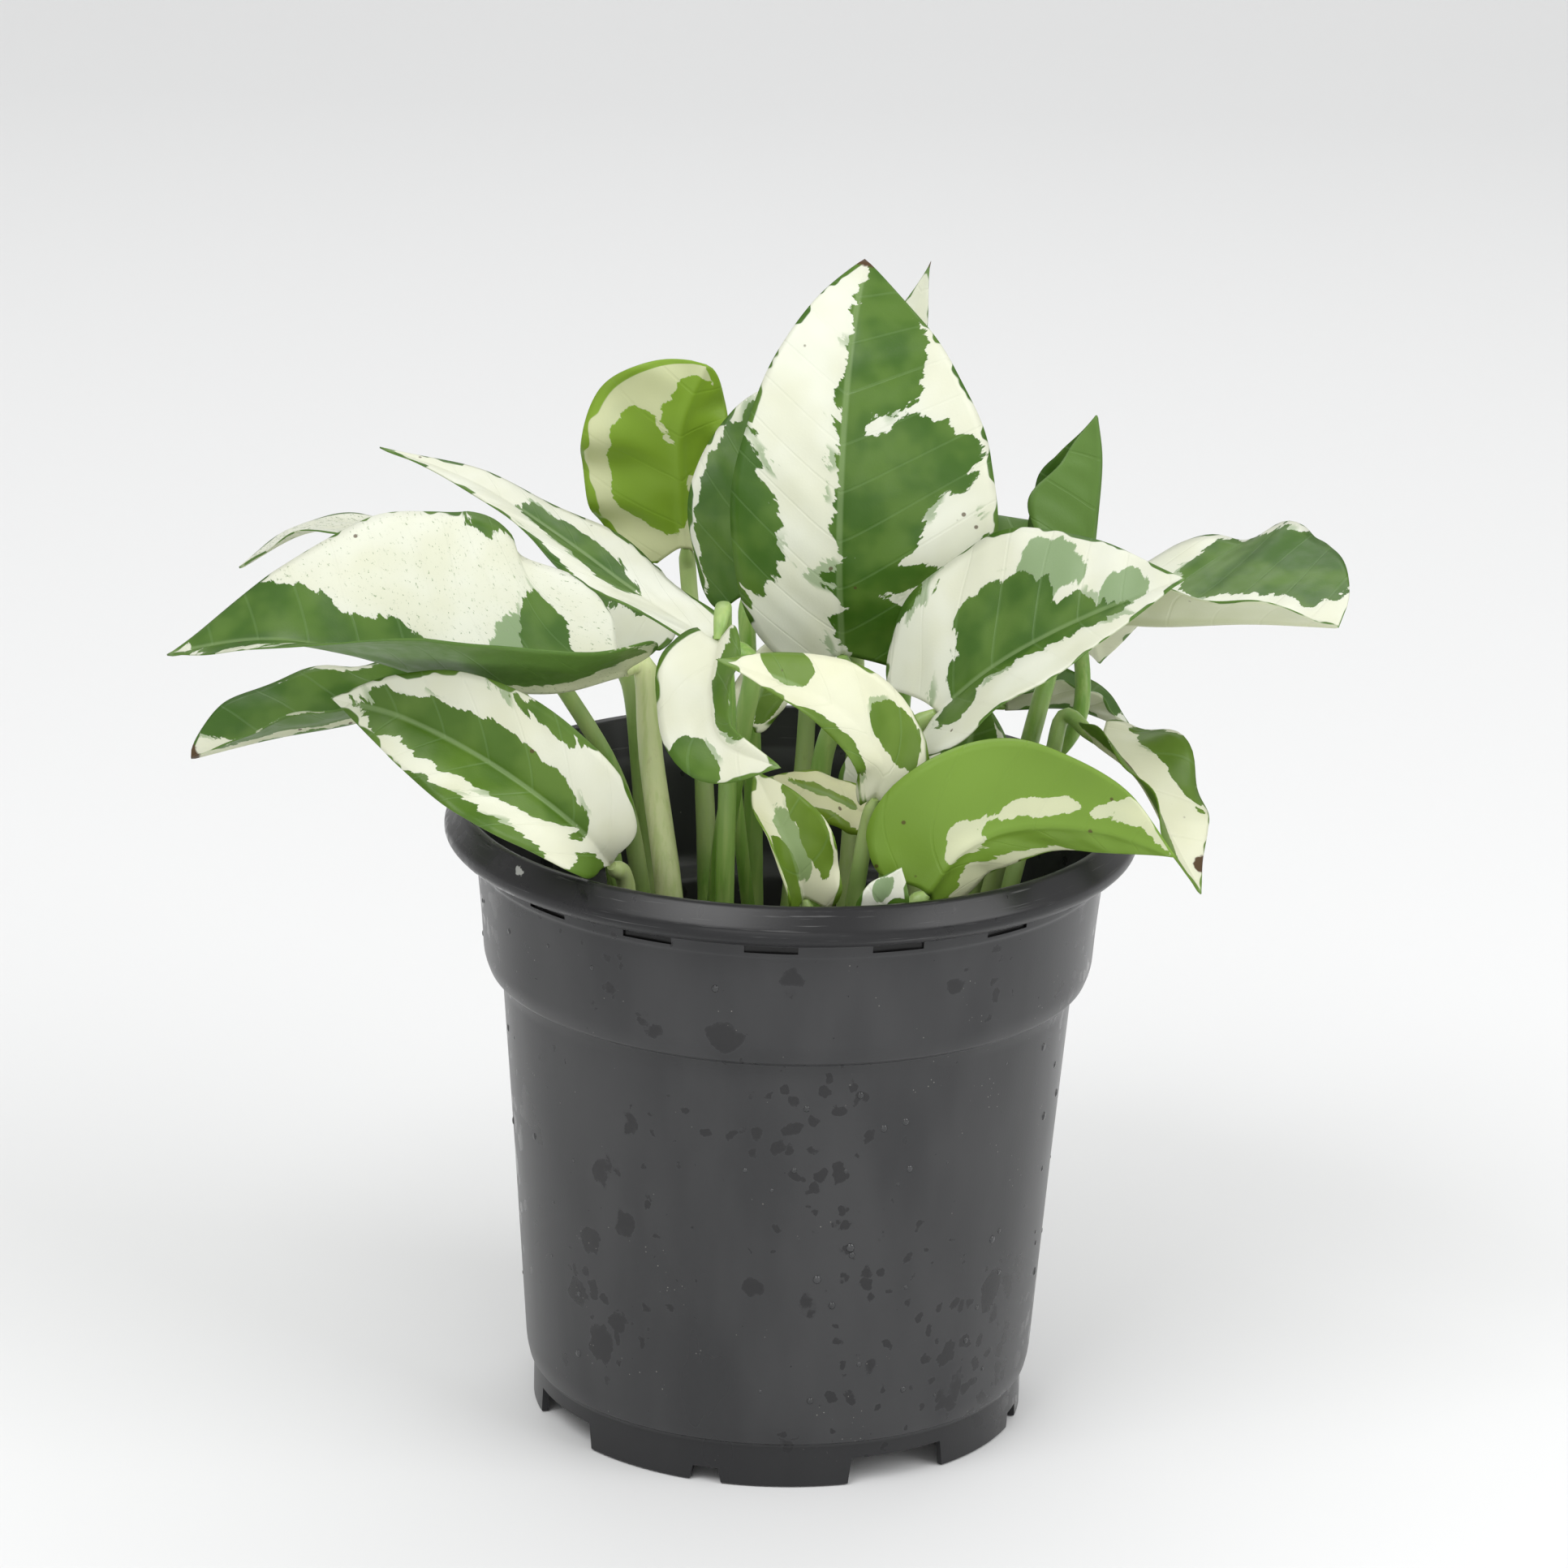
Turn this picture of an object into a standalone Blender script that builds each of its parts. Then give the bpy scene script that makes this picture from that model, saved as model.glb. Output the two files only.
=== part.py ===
# Potted pothos plant: a black nursery pot, a plug of soil, and leaf blades each on its own stem.
# Everything is in metres with +Z up. Recipes for leaves and stems are written in millimetres from the
# pot's axis at ground level, and the finished plant is then moved so the origin is at its bottom centre.
import bpy
import bmesh
from math import sin, cos, pi, radians
from mathutils import Vector, Matrix

MM = 0.001

# ---- pot ----
POT_SEGMENTS = 40
RIM_RADIUS = 60.0 * MM          # outermost edge of the lip
POT_HEIGHT = 110.0 * MM
WALL = 1.3 * MM
FLOOR_HEIGHT = 6.0 * MM         # underside of the floor above the ground
FLOOR_THICKNESS = 1.6 * MM
# outer outline, top to bottom, as (radius, height)
POT_OUTSIDE = [(57.4, 110.0), (59.2, 107.4), (60.0, 106.2), (60.0, 105.0), (58.6, 103.4), (55.7, 103.0),
               (55.0, 102.4), (54.8, 100.2), (54.3, 99.4), (53.4, 90.0), (52.9, 82.6), (51.6, 80.6),
               (49.8, 79.6), (49.5, 77.0), (47.2, 48.0), (44.5, 11.0), (43.9, 8.6), (43.1, 7.6),
               (43.1, 0.0)]
# inner outline, bottom to top
POT_INSIDE = [(41.9, 0.0), (41.9, 6.0), (0.0, 6.0), (0.0, 7.6), (42.4, 7.6), (43.3, 11.4), (45.9, 48.0),
              (48.2, 77.2), (48.5, 80.2), (50.6, 81.7), (51.6, 83.6), (52.1, 90.0), (53.2, 101.0), (56.0, 109.6)]
SLOT_COUNT = 16                 # shallow slots in the neck under the lip
SLOT_WIDTH = 9.0 * MM
SLOT_HEIGHT = 1.3 * MM
SLOT_MIDDLE = 101.6 * MM
SLOT_BOTTOM = 54.2 * MM         # radius where a slot stops, short of the inside
SLOT_TURN = -2.9                # degrees
# openings between the feet: (middle in degrees from the front, width in degrees, height)
FOOT_GAPS = [(29.75, 25.5, 4.7 * MM), (-16.0, 8.0, 2.6 * MM)]
DRAIN_RADIUS = 4.5 * MM
DRAIN_RING = 31.0 * MM
DRAIN_COUNT = 8

# ---- soil ----
SOIL_TOP = 72.0 * MM
SOIL_GAP = 0.4 * MM             # clearance between the root ball and the pot
SOCKET_DEPTH = 10.0 * MM
SOCKET_GAP = 0.3 * MM

# ---- leaf blades and stems ----
BLADE_THICKNESS = 0.8 * MM
BLADE_ROWS = 8                  # faces along the rib
BLADE_COLUMNS = 2               # faces from the rib to one margin
STEM_SIDES = 6
STEM_GAP = 1.3 * MM             # from a stem's end to the start of its blade's rib

# What a blade has unless its recipe says otherwise. Widths are millimetres from the rib to the margin,
# lobe, widest and sinus are fractions, fold and curl are degrees at the base, middle and tip.
BLADE = dict(lobe=0.10, widest=0.34, taper=1.15, sinus=0.42, left=25, right=25,
             fold_left=(20, 10, 5), fold_right=(20, 10, 5), curl_left=(0, 0, 0), curl_right=(0, 0, 0))

LEAVES = {
    "crown": dict(
        rib=[(8, 2, 136), (7, -3, 154), (7, -3, 173), (8, 3, 190), (10, 14, 203)],
        face=[(0, -1, 0.1), (0, -1, 0.1)], left=18.5, right=27, lobe=0.03, widest=0.36, taper=0.95,
        sinus=0.3, fold_left=(8, 6, 4), fold_right=(8, 6, 4), curl_left=(-14, -14, -6),
        curl_right=(-14, -14, -6)),
    "behind_crown": dict(
        rib=[(-9, 20, 141), (-10, 24, 156), (-7, 30, 168), (0, 34, 178)],
        face=[(-0.3, -0.9, 0.3), (-0.3, -0.9, 0.3)], left=9.5, lobe=0.06, right=15, widest=0.36,
        fold_left=(10, 10, 5), fold_right=(10, 10, 5)),
    "back_left": dict(
        rib=[(-20, 44, 143), (-21, 41, 155), (-21, 38, 167), (-17, 37, 178)],
        face=[(0, 1, 0.2), (0, 1, 0.3)], left=10, right=18, widest=0.45, taper=0.6, sinus=0.3,
        fold_left=(10, 10, 20), fold_right=(10, 10, 10)),
    "long_left": dict(
        rib=[(-14, -12, 142), (-27, -4, 147.5), (-41, 6, 154.5), (-56, 14, 161.5), (-73, 20, 166)],
        face=[(0, -0.05, 1), (0, 0, 1)], left=9, right=9, lobe=0.02, widest=0.36, taper=1.3,
        fold_left=(8, 8, 8), fold_right=(5, 5, 10)),
    "broad_left": dict(
        rib=[(-29, -22, 139), (-41, -30, 138), (-57, -36, 141), (-74, -38, 146), (-89, -36, 147),
             (-105, -32, 143)],
        face=[(0, -0.15, 1), (0, -0.15, 1)], left=24, right=31, lobe=0.03, widest=0.36, taper=1.3,
        sinus=0.3,
        fold_left=(42, 38, 0), fold_right=(42, 42, 25)),
    "thin_far_left": dict(
        rib=[(-58, 20, 146), (-73, 24, 150), (-86, 26, 149), (-98, 26, 142)],
        face=[(0, 0, 1), (0, 0, 1)], left=12, right=13, fold_left=(10, 10, 10),
        fold_right=(-8, -8, 0)),
    "low_left": dict(
        rib=[(-62, 8, 126), (-75, 6, 121), (-90, 4, 118), (-104, 0, 115)],
        face=[(0, 0, 1), (0, -0.1, 1)], left=11, right=14, widest=0.5, taper=0.7,
        fold_left=(35, 35, 30), fold_right=(25, 25, 20)),
    "rim_left": dict(
        rib=[(-30, -38, 110), (-33.5, -43, 116), (-41, -46, 123.5), (-52, -46, 131), (-65, -43, 136.5),
             (-77, -40, 138.5)],
        face=[(0.1, -1, 0.1), (0, -1, -0.1)], left=11, right=14, lobe=-0.05, widest=0.5, sinus=0.15,
        fold_left=(50, 45, 20), fold_right=(15, 10, 5)),
    "curled_middle": dict(
        rib=[(-13, -36, 149), (-14, -42, 142), (-12, -47, 135), (-2, -53, 132.5)],
        face=[(-0.3, -0.9, 0.2), (-0.3, -0.9, 0.3)], left=6, right=9.5, lobe=0.08,
        fold_left=(20, 40, 20), fold_right=(5, 5, 5)),
    "arching": dict(
        rib=[(14, -39, 123.4), (15, -41, 130), (10, -43, 138), (0, -46, 144.5), (-13, -50, 150)],
        face=[(0, -0.9, 0.4), (0, -0.7, 0.7)], left=5, right=8.5, lobe=0.05, fold_left=(5, 5, 5),
        fold_right=(5, 5, 5)),
    "right_fan": dict(
        rib=[(24, -24, 134), (34, -28, 144), (47, -32, 153), (64, -36, 162)],
        face=[(-0.35, -0.55, 0.75), (-0.35, -0.55, 0.75)], left=23, right=16, lobe=0.14, widest=0.32,
        fold_left=(12, 12, 5), fold_right=(22, 22, 15)),
    "behind_right": dict(
        rib=[(24, 20, 138), (31, 26, 147), (43, 34, 152)],
        face=[(-0.2, -0.4, 0.9), (-0.2, -0.4, 0.9)], left=13, right=13),
    "upright_fold": dict(
        rib=[(50, 14, 146), (51, 15, 158), (51.5, 16, 168), (50.5, 16, 176)],
        face=[(-1, 0, 0), (-1, 0, 0)], left=12, right=12, lobe=0.03, widest=0.4,
        fold_left=(60, 68, 75), fold_right=(60, 68, 75)),
    "far_right": dict(
        rib=[(53, 4, 143), (63, -4, 145), (77, -12, 148), (91.5, -17, 149)],
        face=[(0, 0, 1), (0, 0, 1)], left=31, right=14, widest=0.62, taper=0.45,
        fold_left=(22, 18, 14), fold_right=(38, 36, 20)),
    "low_right": dict(
        rib=[(37, 20, 122), (49, 24, 121), (60, 24, 117)],
        face=[(0, 0, 1), (0, 0, 1)], left=11, right=11, fold_left=(25, 25, 25),
        fold_right=(35, 35, 30)),
    "hanging_right": dict(
        rib=[(52, -6, 124), (59, -13, 120), (65, -20, 111), (70, -24, 103)],
        face=[(0.5, -0.3, 0.75), (0.5, -0.3, 0.75)], left=11, right=9, lobe=0.08,
        fold_left=(25, 20, 10), fold_right=(35, 35, 10)),
    "front_right": dict(
        rib=[(23, -42, 108), (29, -42, 116), (39, -42, 120), (52, -45, 120.5), (64, -50, 118)],
        face=[(0, 0.9, 0.3), (0, 0.9, 0.3)], left=8, right=17, lobe=0.05, widest=0.3,
        fold_left=(10, 10, 5), fold_right=(10, 10, 5)),
    "inner_right": dict(
        rib=[(28, -10, 112), (30, -8, 122), (31, -6, 133)],
        face=[(0, -1, 0.2), (0, -1, 0.2)], left=8, right=8),
    "small_yellow": dict(
        rib=[(13, -20, 114), (5, -24, 119), (-4, -28, 123)],
        face=[(0, -0.7, 0.7), (0, -0.7, 0.7)], left=5, right=5, lobe=0.05,
        curl_left=(-40, -50, -30), curl_right=(-40, -50, -30)),
    "curly_new": dict(
        rib=[(2.5, -44, 107), (0.5, -45, 115), (-2.5, -43, 121), (-6.5, -40, 128)],
        face=[(0.2, -0.9, 0.3), (0.2, -0.9, 0.3)], left=7, right=8),
    "small_front": dict(
        rib=[(14, -48, 104), (16, -49, 109), (18.5, -49, 114.5)],
        face=[(0.2, -0.9, 0.3), (0.2, -0.9, 0.3)], left=4.5, right=4.5, lobe=0.05),
    "small_pale": dict(
        rib=[(12, -12, 113), (12, -12, 119), (13, -12, 126)],
        face=[(-0.3, -0.9, 0.2), (-0.3, -0.9, 0.2)], left=4, right=4, lobe=0.05),
    "peeking_tip": dict(
        rib=[(11, 42, 152), (13, 44, 168), (18, 46, 182), (22, 48, 195)],
        face=[(0.1, -1, 0.2), (0.2, -1, 0.1)], left=7, right=6.5, lobe=0.05, widest=0.35, taper=1.5),
    "dark_inner": dict(
        rib=[(-8, 2, 124), (-5, 4, 131), (-2, 6, 139)],
        face=[(0.3, -0.9, 0.3), (0.3, -0.9, 0.3)], left=5, right=5),
    "rear_left": dict(
        rib=[(-34, 36, 125), (-44, 49, 132), (-50, 62, 128), (-54, 74, 116)],
        face=[(0, 0, 1), (-0.1, 0.3, 1)], left=19, right=20),
    "rear_middle": dict(
        rib=[(4, 52, 130), (6, 62, 139), (7, 74, 142), (8, 86, 137)],
        face=[(0, -0.2, 1), (0, 0.2, 1)], left=20, right=20, lobe=0.03),
    "rear_right": dict(
        rib=[(38, 42, 124), (46, 52, 130), (52, 64, 126), (56, 76, 114)],
        face=[(0, 0, 1), (0.1, 0.3, 1)], left=16, right=15),
}

# Each stem rises from its foot in the soil, through its points, to the blade of the same name.
# lead is how far it runs in line with the rib before the blade starts.
STEMS = {
    "crown": dict(foot=(4, 4), via=[(4, 5, 95), (5, 6, 115)], radii=(2.2, 1.6)),
    "behind_crown": dict(foot=(-6, 16), via=[(-7, 17, 110)], radii=(1.8, 1.4)),
    "back_left": dict(foot=(-14, 28), via=[(-16, 36, 105)], radii=(1.9, 1.4)),
    "long_left": dict(foot=(-12, -10), via=[(-12, -11, 100), (-9, -15, 126)], radii=(2.1, 1.6)),
    "broad_left": dict(foot=(-20, -26), via=[(-20, -28, 98), (-24, -22, 124)], radii=(2.6, 1.9), lead=3),
    "thin_far_left": dict(foot=(-24, 16), via=[(-30, 18, 105), (-44, 17, 130)], radii=(1.7, 1.3)),
    "low_left": dict(foot=(-28, 4), via=[(-33, 5, 105), (-48, 9, 125)], radii=(1.7, 1.3)),
    "rim_left": dict(foot=(-26, -34), via=[(-27, -34, 90)], radii=(1.9, 1.5), lead=5),
    "curled_middle": dict(foot=(-11, -22), via=[(-11, -27, 100), (-11, -28, 130), (-12, -28, 146)],
                          radii=(1.8, 1.3), lead=5),
    "arching": dict(foot=(9, -30), via=[(10, -35, 95)], radii=(1.8, 1.3)),
    "right_fan": dict(foot=(20, -12), via=[(21, -13, 100), (22, -17, 118)], radii=(2.0, 1.5)),
    "behind_right": dict(foot=(16, 10), via=[(18, 13, 105)], radii=(1.8, 1.4)),
    "upright_fold": dict(foot=(29, 13), via=[(36, 13, 104), (49, 9, 122)], radii=(1.8, 1.3)),
    "far_right": dict(foot=(31, 2), via=[(38, 2, 108), (43, 4, 130)], radii=(1.9, 1.5)),
    "low_right": dict(foot=(20, 23), via=[(23, 19, 100)], radii=(1.6, 1.2)),
    "hanging_right": dict(foot=(35, -12), via=[(38, -12, 100), (44, -4, 118)], radii=(1.7, 1.3)),
    "front_right": dict(foot=(20, -38), via=[(18, -41, 93)], radii=(1.9, 1.5), lead=4),
    "inner_right": dict(foot=(26, -9), via=[], radii=(1.4, 1.1), lead=5),
    "small_yellow": dict(foot=(17, -22), via=[(17, -20, 100)], radii=(1.4, 1.0), lead=3),
    "curly_new": dict(foot=(3, -38), via=[(4, -42, 95)], radii=(1.4, 1.1), lead=4),
    "small_front": dict(foot=(12, -39), via=[(13, -46, 95)], radii=(1.3, 1.0), lead=3),
    "small_pale": dict(foot=(9, -8), via=[(11, -10, 98)], radii=(1.3, 1.0), lead=4),
    "peeking_tip": dict(foot=(10, 28), via=[(11, 36, 110)], radii=(1.8, 1.4)),
    "dark_inner": dict(foot=(-5, 4), via=[], radii=(1.3, 1.0), lead=5),
    "rear_left": dict(foot=(-24, 26), via=[(-27, 29, 105)], radii=(1.9, 1.4)),
    "rear_middle": dict(foot=(0, 34), via=[(2, 42, 105)], radii=(1.9, 1.4)),
    "rear_right": dict(foot=(24, 32), via=[(29, 35, 105)], radii=(1.8, 1.4)),
}

# ---- colours: base colour, roughness, metallic ----
POT_BLACK = ((0.014, 0.015, 0.016, 1.0), 0.38, 0.0)
SOIL_BROWN = ((0.055, 0.035, 0.022, 1.0), 0.95, 0.0)
STEM_GREEN = ((0.25, 0.36, 0.12, 1.0), 0.45, 0.0)
LEAF_GREEN = ((0.11, 0.26, 0.07, 1.0), 0.42, 0.0)
LEAF_CREAM = ((0.72, 0.74, 0.55, 1.0), 0.42, 0.0)
CREAM_LEAVES = ("crown", "long_left", "broad_left", "thin_far_left", "rim_left", "curled_middle",
                "arching", "right_fan", "far_right", "curly_new", "small_front", "small_pale",
                "peeking_tip", "rear_right")


def clearScene():
    for thing in list(bpy.data.objects):
        bpy.data.objects.remove(thing, do_unlink=True)


def makeMaterial(name, look):
    material = bpy.data.materials.new(name)
    material.use_nodes = True
    shader = material.node_tree.nodes["Principled BSDF"]
    shader.inputs["Base Color"].default_value = look[0]
    shader.inputs["Roughness"].default_value = look[1]
    shader.inputs["Metallic"].default_value = look[2]
    material.diffuse_color = look[0]
    return material


def addObject(name, builder, look=None, smooth=True):
    mesh = bpy.data.meshes.new(name)
    bmesh.ops.recalc_face_normals(builder, faces=builder.faces)
    builder.to_mesh(mesh)
    builder.free()
    thing = bpy.data.objects.new(name, mesh)
    bpy.context.scene.collection.objects.link(thing)
    if look:
        mesh.materials.append(makeMaterial(name, look))
    mesh.polygons.foreach_set("use_smooth", [smooth] * len(mesh.polygons))
    return thing


def cutFrom(body, cutters, name):
    """Subtracts cutters, which do not touch each other, from the body."""
    group = bpy.data.collections.new(name)
    for cutter in cutters:
        group.objects.link(cutter)
        cutter.hide_render = True
        cutter.display_type = "WIRE"
    cut = body.modifiers.new(name, "BOOLEAN")
    cut.operation = "DIFFERENCE"
    cut.solver = "EXACT"
    cut.operand_type = "COLLECTION"
    cut.collection = group


def revolved(outline, segments):
    """A closed outline of (radius, height) turned about the Z axis."""
    builder = bmesh.new()
    verts = [builder.verts.new((r, 0, z)) for r, z in outline]
    edges = []
    for i in range(len(verts)):
        a, b = verts[i], verts[(i + 1) % len(verts)]
        if a.co.x > 0 or b.co.x > 0:    # two points on the axis need no wall between them
            edges.append(builder.edges.new((a, b)))
    bmesh.ops.spin(builder, geom=verts + edges, cent=(0, 0, 0), axis=(0, 0, 1), angle=2 * pi,
                   steps=segments, use_merge=True)
    bmesh.ops.remove_doubles(builder, verts=builder.verts, dist=1e-5)
    bmesh.ops.dissolve_degenerate(builder, edges=builder.edges, dist=1e-7)
    return builder


def boxCutter(name, size, middle, turn):
    """A box whose X side points outward, turned about the Z axis by an angle from the front."""
    builder = bmesh.new()
    bmesh.ops.create_cube(builder, size=1.0)
    bmesh.ops.scale(builder, vec=size, verts=builder.verts)
    bmesh.ops.translate(builder, vec=middle, verts=builder.verts)
    bmesh.ops.rotate(builder, cent=(0, 0, 0), matrix=Matrix.Rotation(radians(turn - 90), 3, "Z"),
                     verts=builder.verts)
    return addObject(name, builder, smooth=False)


def cylinderCutter(name, radius, low, high, x, y, sides):
    builder = bmesh.new()
    bmesh.ops.create_cone(builder, cap_ends=True, segments=sides, radius1=radius, radius2=radius,
                          depth=high - low)
    bmesh.ops.translate(builder, vec=(x, y, (low + high) / 2), verts=builder.verts)
    return addObject(name, builder, smooth=False)


def footGapCutter(name, middle, width, height):
    """A wedge that opens the skirt between two feet, with sides that lean outward."""
    builder = bmesh.new()
    near, far = 38 * MM, 47 * MM
    corners = []
    for z, spread in ((-1 * MM, width / 2), (height, width / 2 - 1.0)):
        for side in (-1, 1):
            for reach in (near, far):
                angle = radians(middle + side * spread - 90)
                corners.append(builder.verts.new((reach * cos(angle), reach * sin(angle), z)))
    bmesh.ops.convex_hull(builder, input=corners)
    return addObject(name, builder, smooth=False)


def makePot():
    outline = [(r * MM, z * MM) for r, z in POT_OUTSIDE + POT_INSIDE]
    pot = addObject("pot", revolved(outline, POT_SEGMENTS), POT_BLACK)
    slots = []
    for i in range(SLOT_COUNT):
        slots.append(boxCutter(f"cut_slot_{i}", (8 * MM, SLOT_WIDTH, SLOT_HEIGHT),
                               (SLOT_BOTTOM + 4 * MM, 0, SLOT_MIDDLE), SLOT_TURN + i * 360 / SLOT_COUNT))
    cutFrom(pot, slots, "slots")
    gaps = []
    for quarter in range(4):
        for i, (middle, width, height) in enumerate(FOOT_GAPS):
            gaps.append(footGapCutter(f"cut_foot_{quarter}_{i}", middle + quarter * 90, width, height))
    cutFrom(pot, gaps, "foot_gaps")
    holes = [cylinderCutter("cut_drain_middle", DRAIN_RADIUS, 4 * MM, 10 * MM, 0, 0, 16)]
    for i in range(DRAIN_COUNT):
        angle = 2 * pi * (i + 0.5) / DRAIN_COUNT
        holes.append(cylinderCutter(f"cut_drain_{i}", DRAIN_RADIUS, 4 * MM, 10 * MM,
                                    DRAIN_RING * cos(angle), DRAIN_RING * sin(angle), 16))
    cutFrom(pot, holes, "drain_holes")
    return pot


def makeSoil():
    """The root ball fills the pot to its top, with a socket for the foot of every stem."""
    low = FLOOR_HEIGHT + FLOOR_THICKNESS + SOIL_GAP
    outline = [(0, low), (42.6 * MM - SOIL_GAP, low), (43.1 * MM - SOIL_GAP, 11.4 * MM),
               (45.7 * MM - SOIL_GAP, 48.0 * MM), (47.4 * MM - SOIL_GAP, SOIL_TOP), (0, SOIL_TOP)]
    soil = addObject("soil", revolved(outline, 32), SOIL_BROWN)
    sockets = []
    for name, stem in STEMS.items():
        x, y = stem["foot"]
        reach = (stem["radii"][0] * MM + SOCKET_GAP) / cos(pi / 8)
        sockets.append(cylinderCutter("cut_socket_" + name, reach, SOIL_TOP - SOCKET_DEPTH,
                                      SOIL_TOP + 4 * MM, x * MM, y * MM, 8))
    cutFrom(soil, sockets, "sockets")
    return soil


def curvePoint(points, s):
    """The point at fraction s of the way along a smooth curve through the points."""
    lengths = [(points[i + 1] - points[i]).length for i in range(len(points) - 1)]
    left = min(max(s, 0.0), 1.0) * sum(lengths)
    i = 0
    while i < len(lengths) - 1 and left > lengths[i]:
        left -= lengths[i]
        i += 1
    a = left / lengths[i]
    before = points[i - 1] if i > 0 else 2 * points[0] - points[1]
    after = points[i + 2] if i + 2 < len(points) else 2 * points[-1] - points[-2]
    start = (points[i + 1] - before) / 2
    end = (after - points[i]) / 2
    return ((2 * a ** 3 - 3 * a * a + 1) * points[i] + (a ** 3 - 2 * a * a + a) * start
            + (3 * a * a - 2 * a ** 3) * points[i + 1] + (a ** 3 - a * a) * end)


def between(values, s):
    """Blends values given at the base and tip, or at the base, middle and tip."""
    s = min(max(s, 0.0), 1.0)
    if len(values) == 2:
        return values[0] + (values[1] - values[0]) * s
    first, a = (0, s * 2) if s < 0.5 else (1, s * 2 - 1)
    a = (a * a * (3 - 2 * a) + a) / 2
    return values[first] + (values[first + 1] - values[first]) * a


def blade(recipe):
    return {**BLADE, **recipe, "rib": [Vector(p) * MM for p in recipe["rib"]],
            "face": [Vector(v) for v in recipe["face"]]}


def marginPoint(leaf, u, width):
    """Where the margin is at u from the base (0) to the tip (1): along the rib, and out from it."""
    turn, wide = 0.42, leaf["widest"]
    inner = leaf["sinus"] * width
    if u < turn:
        a = pi / 2 * u / turn
        return wide - (wide + leaf["lobe"]) * cos(a), inner + (width - inner) * sin(a)
    x = ((u - turn) / (1 - turn)) ** 0.9
    return wide + (1 - wide) * x, width * max(0.0, 1 - x * x) ** leaf["taper"]


def bladePoint(leaf, s, t, length):
    """The place in space of the point at s along the rib and t out from it."""
    along = min(max(s, 0.0), 1.0)
    point = curvePoint(leaf["rib"], along)
    ahead = curvePoint(leaf["rib"], along + 0.02) - curvePoint(leaf["rib"], along - 0.02)
    ahead.normalize()
    if s < 0:
        point = point + ahead * (s * length)
    up = between(leaf["face"], along)
    up = (up - ahead * up.dot(ahead)).normalized()
    right = ahead.cross(up)
    side, sign = ("right", 1) if t >= 0 else ("left", -1)
    reach = abs(t)
    fold = radians(between(leaf["fold_" + side], along))
    bend = radians(between(leaf["curl_" + side], along)) / (leaf[side] * MM)
    if abs(bend) < 1e-4:
        out, rise = reach * cos(fold), reach * sin(fold)
    else:
        out = (sin(fold + bend * reach) - sin(fold)) / bend
        rise = (cos(fold) - cos(fold + bend * reach)) / bend
    return point + right * (sign * out) + up * rise


def makeLeaf(name, recipe, look):
    leaf = blade(recipe)
    samples = [curvePoint(leaf["rib"], i / 40) for i in range(41)]
    length = sum((samples[i + 1] - samples[i]).length for i in range(40))
    builder = bmesh.new()
    rows = []
    for i in range(BLADE_ROWS):
        u = i / BLADE_ROWS
        row = []
        for j in range(-BLADE_COLUMNS, BLADE_COLUMNS + 1):
            v = abs(j) / BLADE_COLUMNS
            width = leaf["right" if j >= 0 else "left"] * MM
            edge, out = marginPoint(leaf, u, width)
            rib = u ** 1.05
            s = rib + (edge - rib) * v ** 1.4
            t = out * v * (1 if j >= 0 else -1)
            row.append(builder.verts.new(bladePoint(leaf, s, t, length)))
        rows.append(row)
    for i in range(BLADE_ROWS - 1):
        for j in range(2 * BLADE_COLUMNS):
            builder.faces.new((rows[i][j], rows[i][j + 1], rows[i + 1][j + 1], rows[i + 1][j]))
    tip = builder.verts.new(leaf["rib"][-1])
    for j in range(2 * BLADE_COLUMNS):
        builder.faces.new((rows[-1][j], rows[-1][j + 1], tip))
    thing = addObject("leaf_" + name, builder, look)
    thick = thing.modifiers.new("thickness", "SOLIDIFY")
    thick.thickness = BLADE_THICKNESS
    thick.offset = 0
    return thing


def makeStem(name, recipe, leafRecipe):
    """A tapering round stem from its socket in the soil to just short of its blade."""
    rib = [Vector(p) * MM for p in leafRecipe["rib"]]
    ahead = (curvePoint(rib, 0.02) - rib[0]).normalized()
    x, y = recipe["foot"]
    start = Vector((x, y, 0)) * MM + Vector((0, 0, SOIL_TOP + 1 * MM))
    lead = recipe.get("lead", 7) * MM
    points = [start] + [Vector(p) * MM for p in recipe["via"]]
    points += [rib[0] - ahead * (STEM_GAP + lead), rib[0] - ahead * STEM_GAP]
    count = 1 + 2 * len(points)
    path = [start - Vector((0, 0, SOCKET_DEPTH + 0.5 * MM))]
    path += [curvePoint(points, i / count) for i in range(count + 1)]
    builder = bmesh.new()
    rings = []
    side = Vector((1, 0, 0))
    for i, point in enumerate(path):
        if i == 0:
            direction = Vector((0, 0, 1))
        elif i == len(path) - 1:
            direction = ahead
        else:
            direction = (path[i + 1] - path[i - 1]).normalized()
        side = (side - direction * side.dot(direction)).normalized()
        across = direction.cross(side)
        part = max(i - 1, 0) / count
        radius = (recipe["radii"][0] + (recipe["radii"][1] - recipe["radii"][0]) * part) * MM
        ring = []
        for k in range(STEM_SIDES):
            angle = 2 * pi * k / STEM_SIDES
            ring.append(builder.verts.new(point + side * (radius * cos(angle))
                                          + across * (radius * sin(angle))))
        rings.append(ring)
    for i in range(len(rings) - 1):
        for k in range(STEM_SIDES):
            n = (k + 1) % STEM_SIDES
            builder.faces.new((rings[i][k], rings[i][n], rings[i + 1][n], rings[i + 1][k]))
    builder.faces.new(list(reversed(rings[0])))
    builder.faces.new(rings[-1])
    return addObject("stem_" + name, builder, STEM_GREEN)


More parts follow.
